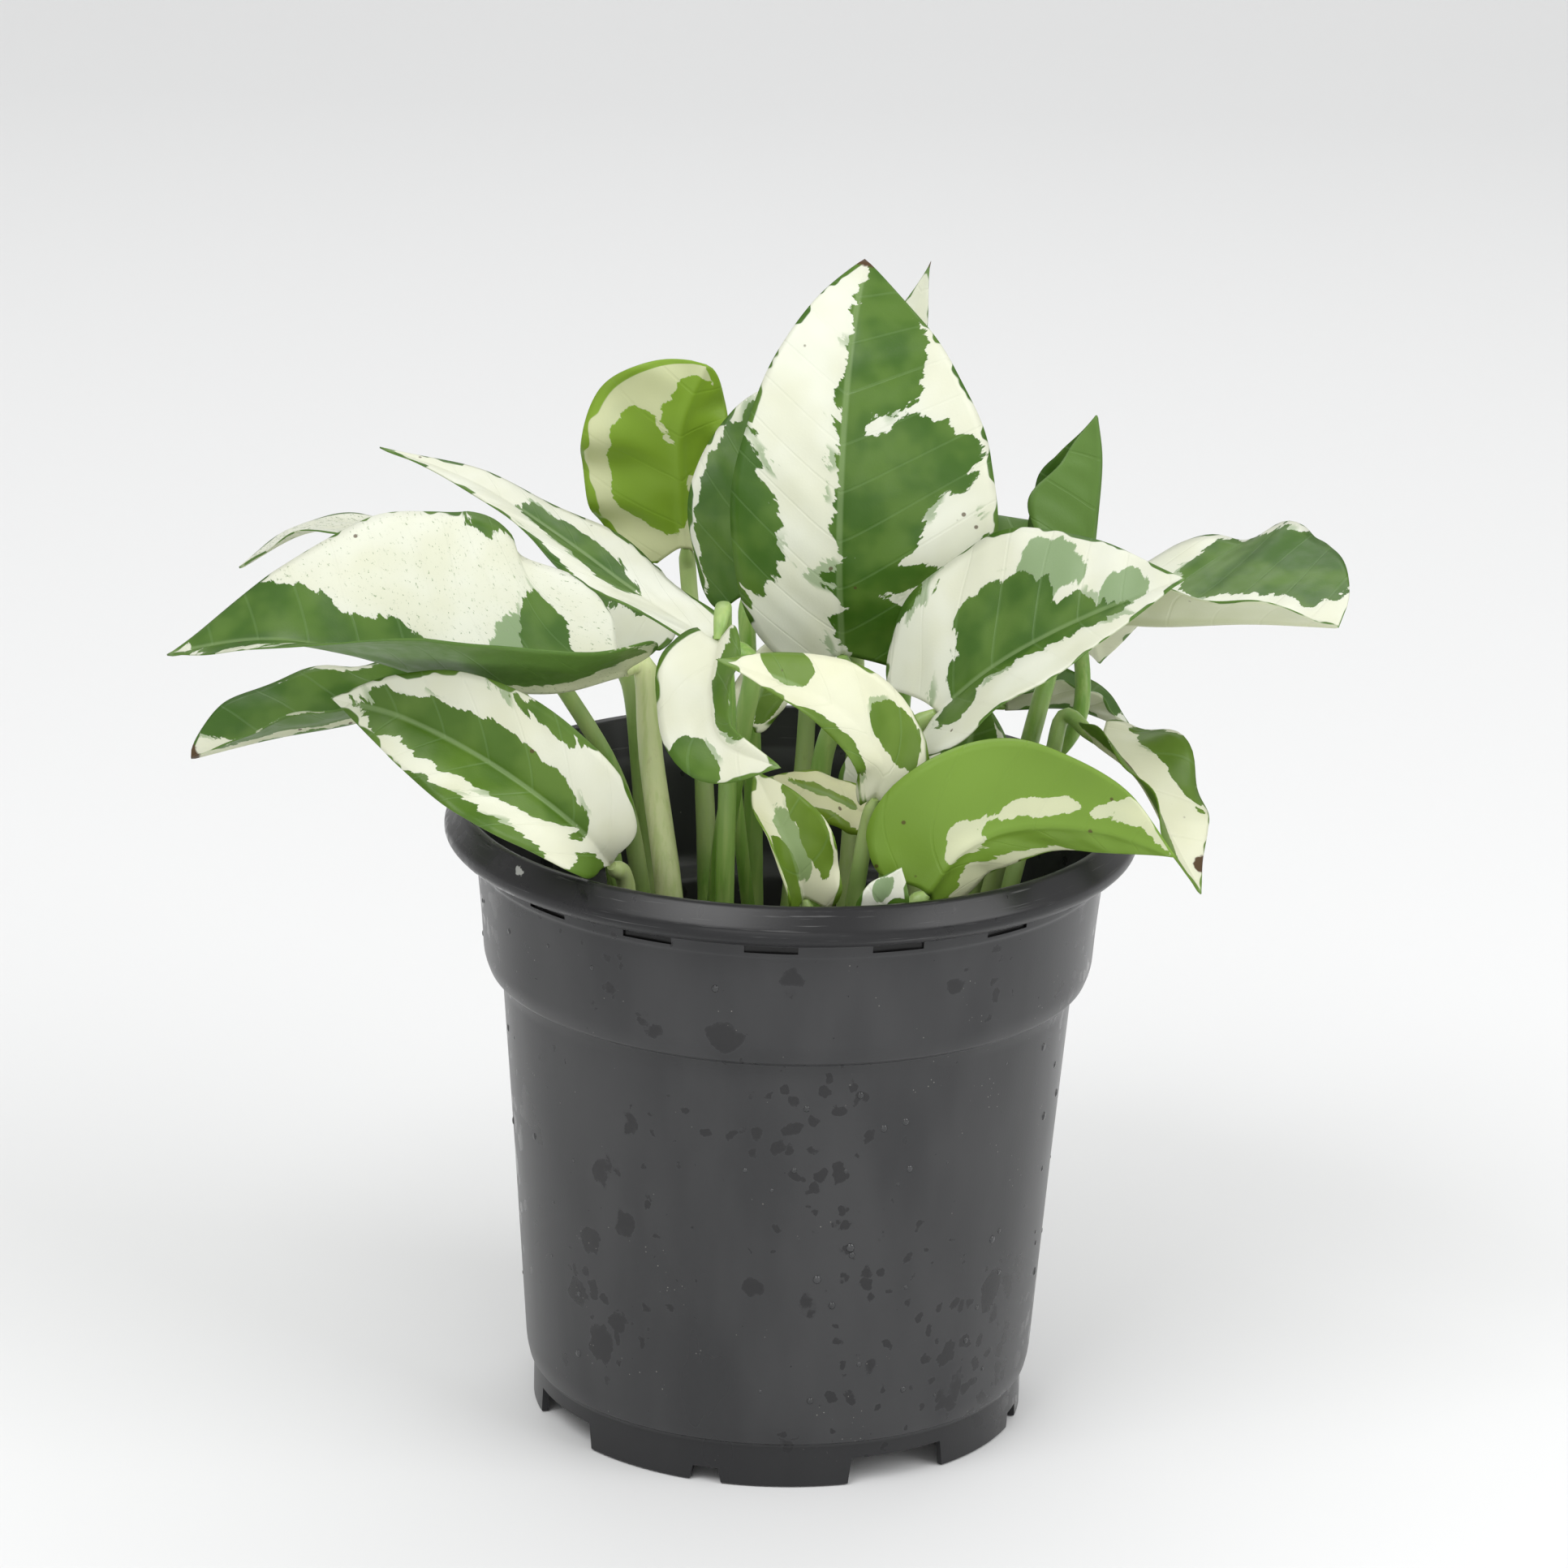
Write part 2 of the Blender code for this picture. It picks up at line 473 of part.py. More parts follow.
def centreOnGround(things):
    """Moves everything so the origin is at the bottom centre of the whole plant."""
    low, high = Vector((1e9,) * 3), Vector((-1e9,) * 3)
    graph = bpy.context.evaluated_depsgraph_get()
    for thing in things:
        for corner in thing.evaluated_get(graph).data.vertices:
            for axis in range(3):
                low[axis] = min(low[axis], corner.co[axis])
                high[axis] = max(high[axis], corner.co[axis])
    shift = Vector((-(low.x + high.x) / 2, -(low.y + high.y) / 2, -low.z))
    for thing in bpy.data.objects:
        thing.data.transform(Matrix.Translation(shift))


def main():
    clearScene()
    things = [makePot(), makeSoil()]
    for name, recipe in LEAVES.items():
        things.append(makeLeaf(name, recipe, LEAF_CREAM if name in CREAM_LEAVES else LEAF_GREEN))
        things.append(makeStem(name, STEMS[name], recipe))
    centreOnGround(things)


main()
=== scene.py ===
import bpy
import bmesh
from math import sin, cos, pi, radians, exp, sqrt
from mathutils import Vector, Matrix, noise


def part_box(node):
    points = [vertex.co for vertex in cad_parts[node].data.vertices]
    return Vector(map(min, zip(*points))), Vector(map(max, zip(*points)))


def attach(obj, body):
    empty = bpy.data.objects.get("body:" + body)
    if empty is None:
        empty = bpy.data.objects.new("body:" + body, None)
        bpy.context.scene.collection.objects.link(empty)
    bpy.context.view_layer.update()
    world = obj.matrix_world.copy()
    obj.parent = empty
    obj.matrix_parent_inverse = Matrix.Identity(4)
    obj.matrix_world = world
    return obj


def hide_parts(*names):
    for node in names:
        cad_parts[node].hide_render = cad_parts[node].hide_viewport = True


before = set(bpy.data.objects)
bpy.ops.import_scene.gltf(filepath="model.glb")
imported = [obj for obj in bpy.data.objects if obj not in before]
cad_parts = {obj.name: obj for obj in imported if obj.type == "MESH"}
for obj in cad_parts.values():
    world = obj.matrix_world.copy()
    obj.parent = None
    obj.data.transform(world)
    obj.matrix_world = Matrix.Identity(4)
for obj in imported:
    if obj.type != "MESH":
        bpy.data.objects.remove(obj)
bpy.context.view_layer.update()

mm = 0.001
potLow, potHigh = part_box("pot")
# the leaves are laid out from the pot's axis
potAxis = Vector(((potLow.x + potHigh.x) / 2, (potLow.y + potHigh.y) / 2, 0))
soilLow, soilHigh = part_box("soil")


studio = {
    "cameraPlace": (0.0, -1.1, 0.4611),   # from the pot's axis on the ground
    "cameraDown": 0.3065,                 # radians below the horizon
    "cameraTurn": -0.0013,
    "cameraTilt": 0.0261,
    "lens": 153.26,
    "floorColour": (0.77, 0.775, 0.78),
    "skyStrength": 0.70,
    "keyPower": 9.0,
    "fillPower": 6.5,
    "backPower": 4.0,
    "lowPower": 3.0,
}


def makeCamera():
    down, turn, tilt = studio["cameraDown"], studio["cameraTurn"], studio["cameraTilt"]
    ahead = Vector((sin(turn) * cos(down), cos(turn) * cos(down), -sin(down)))
    level = Vector((cos(turn), -sin(turn), 0))
    above = level.cross(ahead)
    right = level * cos(tilt) + above * sin(tilt)
    up = above * cos(tilt) - level * sin(tilt)
    data = bpy.data.cameras.new("camera")
    data.lens = studio["lens"]
    data.sensor_width = 36
    data.clip_start = 0.01
    camera = bpy.data.objects.new("camera", data)
    bpy.context.scene.collection.objects.link(camera)
    turnMatrix = Matrix((right, up, -ahead)).transposed().to_4x4()
    camera.matrix_world = Matrix.Translation(potAxis + Vector(studio["cameraPlace"])) @ turnMatrix
    bpy.context.scene.camera = camera


def areaLight(name, place, aim, size, power, colour=(1, 1, 1)):
    data = bpy.data.lights.new(name, "AREA")
    data.shape = "RECTANGLE"
    data.size, data.size_y = size
    data.energy = power
    data.color = colour
    light = bpy.data.objects.new(name, data)
    bpy.context.scene.collection.objects.link(light)
    light.location = potAxis + Vector(place)
    light.rotation_euler = (Vector(aim) - Vector(place)).to_track_quat("-Z", "Y").to_euler()


def makeStudio():
    # a floor that sweeps up into a back wall
    builder = bmesh.new()
    profile = [(-2.5, 0.0), (1.1, 0.0)]
    profile += [(1.1 + 0.9 * sin(a), 0.9 - 0.9 * cos(a)) for a in [pi / 2 * i / 16 for i in range(1, 17)]]
    profile += [(2.0, 3.0)]
    rows = [[builder.verts.new((x, y, z)) for y, z in profile] for x in (-3.5, 3.5)]
    for i in range(len(profile) - 1):
        builder.faces.new((rows[0][i], rows[1][i], rows[1][i + 1], rows[0][i + 1]))
    mesh = bpy.data.meshes.new("studioFloor")
    builder.to_mesh(mesh)
    builder.free()
    for face in mesh.polygons:
        face.use_smooth = True
    floor = bpy.data.objects.new("studioFloor", mesh)
    floor.location = (0, 0, -0.0002)
    bpy.context.scene.collection.objects.link(floor)
    paper = bpy.data.materials.new("studioPaper")
    paper.use_nodes = True
    shader = paper.node_tree.nodes["Principled BSDF"]
    shader.inputs["Base Color"].default_value = (*studio["floorColour"], 1)
    shader.inputs["Roughness"].default_value = 0.75
    mesh.materials.append(paper)

    world = bpy.data.worlds.new("studioSky")
    world.use_nodes = True
    sky = world.node_tree.nodes["Background"]
    sky.inputs["Color"].default_value = (1.0, 0.995, 0.985, 1)
    sky.inputs["Strength"].default_value = studio["skyStrength"]
    bpy.context.scene.world = world
    areaLight("keyLight", (-0.55, -0.75, 1.25), (0, 0, 0.12), (0.9, 0.7), studio["keyPower"])
    areaLight("fillLight", (0.9, -0.5, 0.7), (0, 0, 0.1), (0.8, 0.8), studio["fillPower"])
    areaLight("lowLight", (-0.2, -1.5, 0.28), (0, 0, 0.1), (1.2, 0.5), studio["lowPower"])
    areaLight("backLight", (0.1, 0.9, 1.1), (0, 0, 0.14), (1.2, 0.6), studio["backPower"])
    bpy.context.scene.view_settings.view_transform = "Standard"


class Graph:
    # a short way to add nodes and join them
    def link(self, value, socket):
        if isinstance(value, bpy.types.NodeSocket):
            self.tree.links.new(value, socket)
        else:
            socket.default_value = value

    def add(self, kind, inputs=None, **settings):
        node = self.tree.nodes.new(kind)
        for key, value in settings.items():
            setattr(node, key, value)
        for key, value in (inputs or {}).items():
            self.link(value, node.inputs[key])
        return node

    def take(self, kind, inputs=None, out=0, **settings):
        return self.add(kind, inputs, **settings).outputs[out]

    def math(self, operation, a, b=0.0, clamp=False):
        return self.take("ShaderNodeMath", {0: a, 1: b}, operation=operation, use_clamp=clamp)

    def times(self, a, b):
        return self.math("MULTIPLY", a, b)

    def plus(self, a, b, clamp=False):
        return self.math("ADD", a, b, clamp)

    def minus(self, a, b):
        return self.math("SUBTRACT", a, b)

    def most(self, a, b):
        return self.math("MAXIMUM", a, b)

    def scaled(self, vector, amount):
        return self.take("ShaderNodeVectorMath", {0: vector, "Scale": amount}, operation="SCALE")


class ShapeGraph(Graph):
    # Geometry Nodes with named inputs; a material input starts as None
    def __init__(self, name, **given):
        self.tree = bpy.data.node_groups.new(name, "GeometryNodeTree")
        face = self.tree.interface
        kinds = {int: "NodeSocketInt", float: "NodeSocketFloat", type(None): "NodeSocketMaterial"}
        face.new_socket("Geometry", in_out="INPUT", socket_type="NodeSocketGeometry")
        for label, value in given.items():
            socket = face.new_socket(label, in_out="INPUT", socket_type=kinds[type(value)])
            if value is not None:
                socket.default_value = value
        face.new_socket("Geometry", in_out="OUTPUT", socket_type="NodeSocketGeometry")
        self.given = self.add("NodeGroupInput").outputs

    def keep(self, shape, name, value):
        return self.take("GeometryNodeStoreNamedAttribute", {"Geometry": shape, "Name": name, "Value": value},
                         data_type="FLOAT", domain="POINT")

    def scatter(self, **more):
        inputs = {"Mesh": self.given["Geometry"], "Seed": self.given["Seed"], **more}
        return self.add("GeometryNodeDistributePointsOnFaces", inputs).outputs

    def finish(self, shape):
        real = self.take("GeometryNodeRealizeInstances", {0: shape})
        skinned = self.take("GeometryNodeSetMaterial", {"Geometry": real, "Material": self.given["Skin"]})
        self.add("NodeGroupOutput", {0: skinned})
        return self.tree


class Finish(Graph):
    # a material's nodes
    def __init__(self, name):
        self.material = bpy.data.materials.new(name)
        self.material.use_nodes = True
        self.tree = self.material.node_tree
        self.shader = self.tree.nodes["Principled BSDF"]
        self.output = self.tree.nodes["Material Output"]

    def attribute(self, name, out="Fac"):
        return self.take("ShaderNodeAttribute", out=out, attribute_name=name)

    def place(self):
        return self.take("ShaderNodeTexCoord", out="Object")

    def ramp(self, value, low, high, lowTo=0.0, highTo=1.0):
        return self.take("ShaderNodeMapRange", {"Value": value, "From Min": low, "From Max": high,
                                                "To Min": lowTo, "To Max": highTo},
                         interpolation_type="SMOOTHSTEP")

    def noise(self, vector, scale, detail=2.0, roughness=0.5, out="Fac"):
        return self.take("ShaderNodeTexNoise", {"Vector": vector, "Scale": scale, "Detail": detail,
                                                "Roughness": roughness}, out=out)

    def voronoi(self, vector, scale):
        return self.take("ShaderNodeTexVoronoi", {"Vector": vector, "Scale": scale}, out="Distance")

    def stretch(self, vector, size):
        return self.take("ShaderNodeMapping", {"Vector": vector, "Scale": size})

    def vector(self, operation, a, b, out=0):
        return self.take("ShaderNodeVectorMath", {0: a, 1: b}, out=out, operation=operation)

    def part(self, vector, axis):
        return self.take("ShaderNodeSeparateXYZ", {0: vector}, out=axis)

    def mix(self, amount, a, b):
        return self.take("ShaderNodeMix", {0: amount, 6: a, 7: b}, out=2, data_type="RGBA")

    def bump(self, height, strength, distance, under=None):
        inputs = {"Height": height, "Strength": strength, "Distance": distance}
        if under is not None:
            inputs["Normal"] = under
        return self.take("ShaderNodeBump", inputs)

    def finish(self, **sockets):
        for name, value in sockets.items():
            self.link(value, self.shader.inputs[name.replace("_", " ")])
        return self.material


def finishPiece(piece, node):
    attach(piece, "root")
    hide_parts(node)


def meshObject(name, builder, material):
    mesh = bpy.data.meshes.new(name)
    builder.to_mesh(mesh)
    builder.free()
    mesh.polygons.foreach_set("use_smooth", [True] * len(mesh.polygons))
    mesh.materials.append(material)
    piece = bpy.data.objects.new(name, mesh)
    bpy.context.scene.collection.objects.link(piece)
    return piece


def ringOfPoints(builder, middle, radius, height, count):
    turns = [2 * pi * k / count for k in range(count)]
    return [builder.verts.new((middle.x + radius * cos(a), middle.y + radius * sin(a), height))
            for a in turns]


def joinRings(builder, a, b):
    for k in range(len(a)):
        n = (k + 1) % len(a)
        builder.faces.new((a[k], a[n], b[n], b[k]))


def bakeModifiers(piece):
    # turns a piece and its live modifiers into a plain mesh
    bpy.context.view_layer.update()
    graph = bpy.context.evaluated_depsgraph_get()
    mesh = bpy.data.meshes.new_from_object(piece.evaluated_get(graph), depsgraph=graph)
    name = piece.name
    bpy.data.objects.remove(piece)
    plain = bpy.data.objects.new(name, mesh)
    plain.name = name
    bpy.context.scene.collection.objects.link(plain)
    return plain


def applyTree(piece, tree, **given):
    modifier = piece.modifiers.new(tree.name, "NODES")
    modifier.node_group = tree
    sockets = {s.name: s.identifier for s in tree.interface.items_tree if s.in_out == "INPUT"}
    for name, value in given.items():
        modifier[sockets[name]] = value
    return bakeModifiers(piece)


def curvePoint(points, s):
    # the point at fraction s of the way along a smooth curve through the points
    lengths = [(points[i + 1] - points[i]).length for i in range(len(points) - 1)]
    left = min(max(s, 0.0), 1.0) * sum(lengths)
    i = 0
    while i < len(lengths) - 1 and left > lengths[i]:
        left -= lengths[i]
        i += 1
    a = left / lengths[i]
    before = points[i - 1] if i > 0 else 2 * points[0] - points[1]
    after = points[i + 2] if i + 2 < len(points) else 2 * points[-1] - points[-2]
    start = (points[i + 1] - before) / 2
    end = (after - points[i]) / 2
    return ((2 * a ** 3 - 3 * a * a + 1) * points[i] + (a ** 3 - 2 * a * a + a) * start
            + (3 * a * a - 2 * a ** 3) * points[i + 1] + (a ** 3 - a * a) * end)


def between(values, s):
    # blends values given once, or at the base and tip, or at the base, middle and tip
    if len(values) == 1:
        return values[0]
    s = min(max(s, 0.0), 1.0)
    if len(values) == 2:
        return values[0] + (values[1] - values[0]) * s
    first, a = (0, s * 2) if s < 0.5 else (1, s * 2 - 1)
    a = (a * a * (3 - 2 * a) + a) / 2
    return values[first] + (values[first + 1] - values[first]) * a


# widths are millimetres from the rib to the margin, folds and curls are degrees at base, middle and tip
# (foldLeft and foldRight, or fold for both).
# green, grey: patches as (along the rib, across from -1 left to 1 right, half length, half width)
plainLeaf = {
    "lobe": 0.10, "widest": 0.34, "taper": 1.15, "sinus": 0.42, "left": 25, "right": 25,
    "foldLeft": (20, 10, 5), "foldRight": (20, 10, 5), "curlLeft": (0, 0, 0), "curlRight": (0, 0, 0),
    "wave": 0.8, "waves": 2.3, "phase": 0.0, "buckle": 0.8,
    "green": [], "cream": [], "grey": [], "allGreen": 0.0,
    "speckle": 0.1, "edgeGreen": 0.4, "yellow": 0.0, "tipBrown": 0.3, "sores": [],
    "thickness": 0.45,
}

leaves = {
    "crown": dict(
        rib=[(8, 2, 136), (7, -3, 154), (7, -3, 173), (8, 3, 190), (10, 14, 203)],
        face=[(0, -1, 0.1)], left=18.5, right=27, lobe=0.03, widest=0.36, taper=0.95,
        sinus=0.3, fold=(8, 6, 4), curl=(-14, -14, -6), buckle=0.9, tipBrown=1.0,
        green=[(0.87, 0.17, 0.13, 0.20), (0.75, 0.22, 0.14, 0.24), (0.62, 0.05, 0.12, 0.13),
               (0.52, 0.55, 0.09, 0.34), (0.46, 0.30, 0.12, 0.34), (0.36, 0.22, 0.12, 0.30),
               (0.22, 0.3, 0.045, 0.36), (0.2, 0.12, 0.1, 0.16), (0.07, 0.24, 0.1, 0.28),
               (0.31, -0.84, 0.15, 0.30), (0.37, -0.92, 0.19, 0.18),
               (0.80, -0.98, 0.16, 0.09), (0.2, 0.98, 0.14, 0.10)]),
    "behind_crown": dict(
        rib=[(-9, 20, 141), (-10, 24, 156), (-7, 30, 168), (0, 34, 178)],
        face=[(-0.3, -0.9, 0.3)], left=9.5, lobe=0.06, right=15, widest=0.36,
        fold=(10, 10, 5),
        green=[(0.3, 0.0, 0.5, 0.85), (0.7, 0.3, 0.3, 0.5)]),
    "back_left": dict(
        rib=[(-20, 44, 143), (-21, 41, 155), (-21, 38, 167), (-17, 37, 178)],
        face=[(0, 1, 0.2), (0, 1, 0.3)], left=10, right=18, widest=0.45, taper=0.6, sinus=0.3,
        foldLeft=(10, 10, 20), foldRight=(10, 10, 10), yellow=0.8, edgeGreen=0.8, wave=2.0, waves=3.2,
        green=[(0.42, 0.42, 0.26, 0.30), (0.30, 0.15, 0.26, 0.3), (0.62, -0.45, 0.3, 0.5),
               (0.75, -0.1, 0.2, 0.3)]),
    "long_left": dict(
        rib=[(-14, -12, 142), (-27, -4, 147.5), (-41, 6, 154.5), (-56, 14, 161.5), (-73, 20, 166)],
        face=[(0, -0.05, 1), (0, 0, 1)], left=9, right=9, lobe=0.02, widest=0.36, taper=1.3,
        foldLeft=(8, 8, 8), foldRight=(5, 5, 10), buckle=0.5,
        green=[(0.46, 0.1, 0.17, 0.42), (0.33, -0.1, 0.10, 0.35), (0.46, -0.95, 0.12, 0.16),
               (-0.02, 0.0, 0.03, 0.6)]),
    "broad_left": dict(
        rib=[(-29, -22, 139), (-41, -30, 138), (-57, -36, 141), (-74, -38, 146), (-89, -36, 147),
             (-105, -32, 143)],
        face=[(0, -0.15, 1)], left=24, right=31, lobe=0.03, widest=0.36, taper=1.3,
        sinus=0.3, foldLeft=(42, 38, 0), foldRight=(42, 42, 25), speckle=0.55, wave=0.6,
        green=[(0.62, -0.05, 0.32, 0.30), (0.80, 0.12, 0.17, 0.26), (0.15, 0.33, 0.08, 0.27),
               (0.38, -0.55, 0.36, 0.5), (0.29, 0.98, 0.10, 0.09)],
        grey=[(0.25, 0.22, 0.06, 0.25)]),
    "thin_far_left": dict(
        rib=[(-58, 20, 146), (-73, 24, 150), (-86, 26, 149), (-98, 26, 142)],
        face=[(0, 0, 1)], left=12, right=13, foldLeft=(10, 10, 10), foldRight=(-8, -8, 0),
        speckle=0.7, green=[(0.02, 0.3, 0.2, 0.7)]),
    "low_left": dict(
        rib=[(-62, 8, 126), (-75, 6, 121), (-90, 4, 118), (-104, 0, 115)],
        face=[(0, 0, 1), (0, -0.1, 1)], left=11, right=14, widest=0.5, taper=0.7,
        foldLeft=(35, 35, 30), foldRight=(25, 25, 20), tipBrown=1.0,
        green=[(0.5, 0.45, 0.45, 0.5), (0.4, -0.6, 0.5, 0.42)]),
    "rim_left": dict(
        rib=[(-30, -38, 110), (-33.5, -43, 116), (-41, -46, 123.5), (-52, -46, 131), (-65, -43, 136.5),
             (-77, -40, 138.5)],
        face=[(0.1, -1, 0.1), (0, -1, -0.1)], left=11, right=14, lobe=-0.05, widest=0.5, sinus=0.15,
        foldLeft=(50, 45, 20), foldRight=(15, 10, 5), yellow=0.15,
        green=[(0.56, 0.0, 0.36, 0.48), (0.55, -0.97, 0.5, 0.22), (0.06, -0.6, 0.12, 0.5),
               (0.46, 0.9, 0.09, 0.14)]),
    "curled_middle": dict(
        rib=[(-13, -36, 149), (-14, -42, 142), (-12, -47, 135), (-2, -53, 132.5)],
        face=[(-0.3, -0.9, 0.2), (-0.3, -0.9, 0.3)], left=6, right=9.5, lobe=0.08,
        foldLeft=(20, 40, 20), foldRight=(5, 5, 5), yellow=0.1,
        green=[(0.6, 0.65, 0.1, 0.4), (0.35, -0.6, 0.42, 0.42)]),
    "arching": dict(
        rib=[(14, -39, 123.4), (15, -41, 130), (10, -43, 138), (0, -46, 144.5), (-13, -50, 150)],
        face=[(0, -0.9, 0.4), (0, -0.7, 0.7)], left=5, right=8.5, lobe=0.05, fold=(5, 5, 5), yellow=0.35,
        green=[(0.72, 0.35, 0.11, 0.4), (0.25, 0.5, 0.12, 0.4), (0.45, -0.9, 0.45, 0.35)]),
    "right_fan": dict(
        rib=[(24, -24, 134), (34, -28, 144), (47, -32, 153), (64, -36, 162)],
        face=[(-0.35, -0.55, 0.75)], left=23, right=16, lobe=0.14, widest=0.32,
        foldLeft=(12, 12, 5), foldRight=(22, 22, 15),
        green=[(0.36, -0.36, 0.20, 0.26), (0.30, -0.05, 0.24, 0.26), (0.52, 0.02, 0.20, 0.26),
               (0.12, 0.25, 0.10, 0.3), (0.04, -0.95, 0.12, 0.14), (0.72, 0.1, 0.10, 0.14)],
        grey=[(0.56, -0.5, 0.12, 0.24), (0.78, -0.05, 0.10, 0.2)]),
    "behind_right": dict(
        rib=[(24, 20, 138), (31, 26, 147), (43, 34, 152)],
        face=[(-0.2, -0.4, 0.9)], left=13, right=13, allGreen=3.0,
        grey=[(0.5, 0.2, 0.15, 0.4)]),
    "upright_fold": dict(
        rib=[(50, 14, 146), (51, 15, 158), (51.5, 16, 168), (50.5, 16, 176)],
        face=[(-1, 0, 0)], left=12, right=12, lobe=0.03, widest=0.4,
        fold=(60, 68, 75), allGreen=3.0),
    "far_right": dict(
        rib=[(53, 4, 143), (63, -4, 145), (77, -12, 148), (91.5, -17, 149)],
        face=[(0, 0, 1)], left=31, right=14, widest=0.62, taper=0.45,
        foldLeft=(22, 18, 14), foldRight=(38, 36, 20), wave=1.2,
        green=[(0.42, -0.60, 0.28, 0.34), (0.66, -0.62, 0.27, 0.36), (0.86, -0.5, 0.13, 0.3)]),
    "low_right": dict(
        rib=[(37, 20, 122), (49, 24, 121), (60, 24, 117)],
        face=[(0, 0, 1)], left=11, right=11, foldLeft=(25, 25, 25), foldRight=(35, 35, 30),
        green=[(0.4, -0.4, 0.5, 0.55)]),
    "hanging_right": dict(
        rib=[(52, -6, 124), (59, -13, 120), (65, -20, 111), (70, -24, 103)],
        face=[(0.5, -0.3, 0.75)], left=11, right=9, lobe=0.08,
        foldLeft=(25, 20, 10), foldRight=(35, 35, 10), tipBrown=0.4, yellow=0.3, wave=1.6,
        sores=[(0.86, -0.3, 0.05, 0.2), (0.3, 0.5, 0.05, 0.2)],
        green=[(0.40, 0.62, 0.5, 0.4), (0.3, -0.75, 0.3, 0.25)]),
    "front_right": dict(
        rib=[(23, -42, 108), (29, -42, 116), (39, -42, 120), (52, -45, 120.5), (64, -50, 118)],
        face=[(0, 0.9, 0.3)], left=8, right=17, lobe=0.05, widest=0.3,
        fold=(10, 10, 5), yellow=0.45, edgeGreen=0.2,
        green=[(0.35, 0.70, 0.62, 0.46), (0.06, 0.2, 0.2, 0.7), (0.62, -0.25, 0.42, 0.5)],
        cream=[(0.56, 0.20, 0.34, 0.07), (0.22, 0.02, 0.10, 0.12)]),
    "inner_right": dict(
        rib=[(28, -10, 112), (30, -8, 122), (31, -6, 133)],
        face=[(0, -1, 0.2)], left=8, right=8, green=[(0.45, 0, 0.5, 0.6)]),
    "small_yellow": dict(
        rib=[(13, -20, 114), (5, -24, 119), (-4, -28, 123)],
        face=[(0, -0.7, 0.7)], left=5, right=5, lobe=0.05,
        curl=(-40, -50, -30), yellow=0.9,
        green=[(0.4, 0.1, 0.4, 0.2), (0.5, -0.8, 0.4, 0.25)]),
    "curly_new": dict(
        rib=[(2.5, -44, 107), (0.5, -45, 115), (-2.5, -43, 121), (-6.5, -40, 128)],
        face=[(0.2, -0.9, 0.3)], left=7, right=8, yellow=0.5, wave=1.4,
        curlLeft=(70, 90, 60), curlRight=(30, 50, 40),
        green=[(0.5, 0.6, 0.4, 0.35), (0.25, -0.4, 0.3, 0.4)], grey=[(0.4, 0.1, 0.3, 0.3)]),
    "small_front": dict(
        rib=[(14, -48, 104), (16, -49, 109), (18.5, -49, 114.5)],
        face=[(0.2, -0.9, 0.3)], left=4.5, right=4.5, lobe=0.05, wave=0.3, buckle=0.3,
        green=[(0.35, 0.5, 0.25, 0.4)], grey=[(0.6, -0.3, 0.2, 0.4)]),
    "small_pale": dict(
        rib=[(12, -12, 113), (12, -12, 119), (13, -12, 126)],
        face=[(-0.3, -0.9, 0.2)], left=4, right=4, lobe=0.05, wave=0.3, buckle=0.3,
        green=[(0.3, 0.5, 0.3, 0.3)]),
    "peeking_tip": dict(
        rib=[(11, 42, 152), (13, 44, 168), (18, 46, 182), (22, 48, 195)],
        face=[(0.1, -1, 0.2), (0.2, -1, 0.1)], left=7, right=6.5, lobe=0.05, widest=0.35, taper=1.5,
        green=[(0.8, 0.95, 0.2, 0.5), (0.4, 0.3, 0.3, 0.4)], tipBrown=0.8),
    "dark_inner": dict(
        rib=[(-8, 2, 124), (-5, 4, 131), (-2, 6, 139)],
        face=[(0.3, -0.9, 0.3)], left=5, right=5, yellow=0.3,
        green=[(0.5, 0.4, 0.5, 0.5)]),
    "rear_left": dict(
        rib=[(-34, 36, 125), (-44, 49, 132), (-50, 62, 128), (-54, 74, 116)],
        face=[(0, 0, 1), (-0.1, 0.3, 1)], left=19, right=20,
        green=[(0.45, 0.3, 0.3, 0.4), (0.3, -0.4, 0.25, 0.35), (0.75, -0.2, 0.15, 0.3),
               (0.15, 0.7, 0.1, 0.25)]),
    "rear_middle": dict(
        rib=[(4, 52, 130), (6, 62, 139), (7, 74, 142), (8, 86, 137)],
        face=[(0, -0.2, 1), (0, 0.2, 1)], left=20, right=20, lobe=0.03,
        green=[(0.4, -0.4, 0.3, 0.4), (0.6, 0.25, 0.28, 0.3), (0.2, 0.6, 0.12, 0.3)],
        grey=[(0.5, 0.5, 0.2, 0.3)]),
    "rear_right": dict(
        rib=[(38, 42, 124), (46, 52, 130), (52, 64, 126), (56, 76, 114)],
        face=[(0, 0, 1), (0.1, 0.3, 1)], left=16, right=15, speckle=0.4,
        green=[(0.3, 0.35, 0.22, 0.4), (0.6, -0.3, 0.3, 0.35)]),
}


def leafMargin(leaf, u, width):
    # where the margin is at u from the base (0) to the tip (1): along the rib, and out from it
    turn, wide = 0.42, leaf["widest"]
    inner = leaf["sinus"] * width
    if u < turn:
        a = pi / 2 * u / turn
        return wide - (wide + leaf["lobe"]) * cos(a), inner + (width - inner) * sin(a)
    x = ((u - turn) / (1 - turn)) ** 0.9
    return wide + (1 - wide) * x, width * max(0.0, 1 - x * x) ** leaf["taper"]


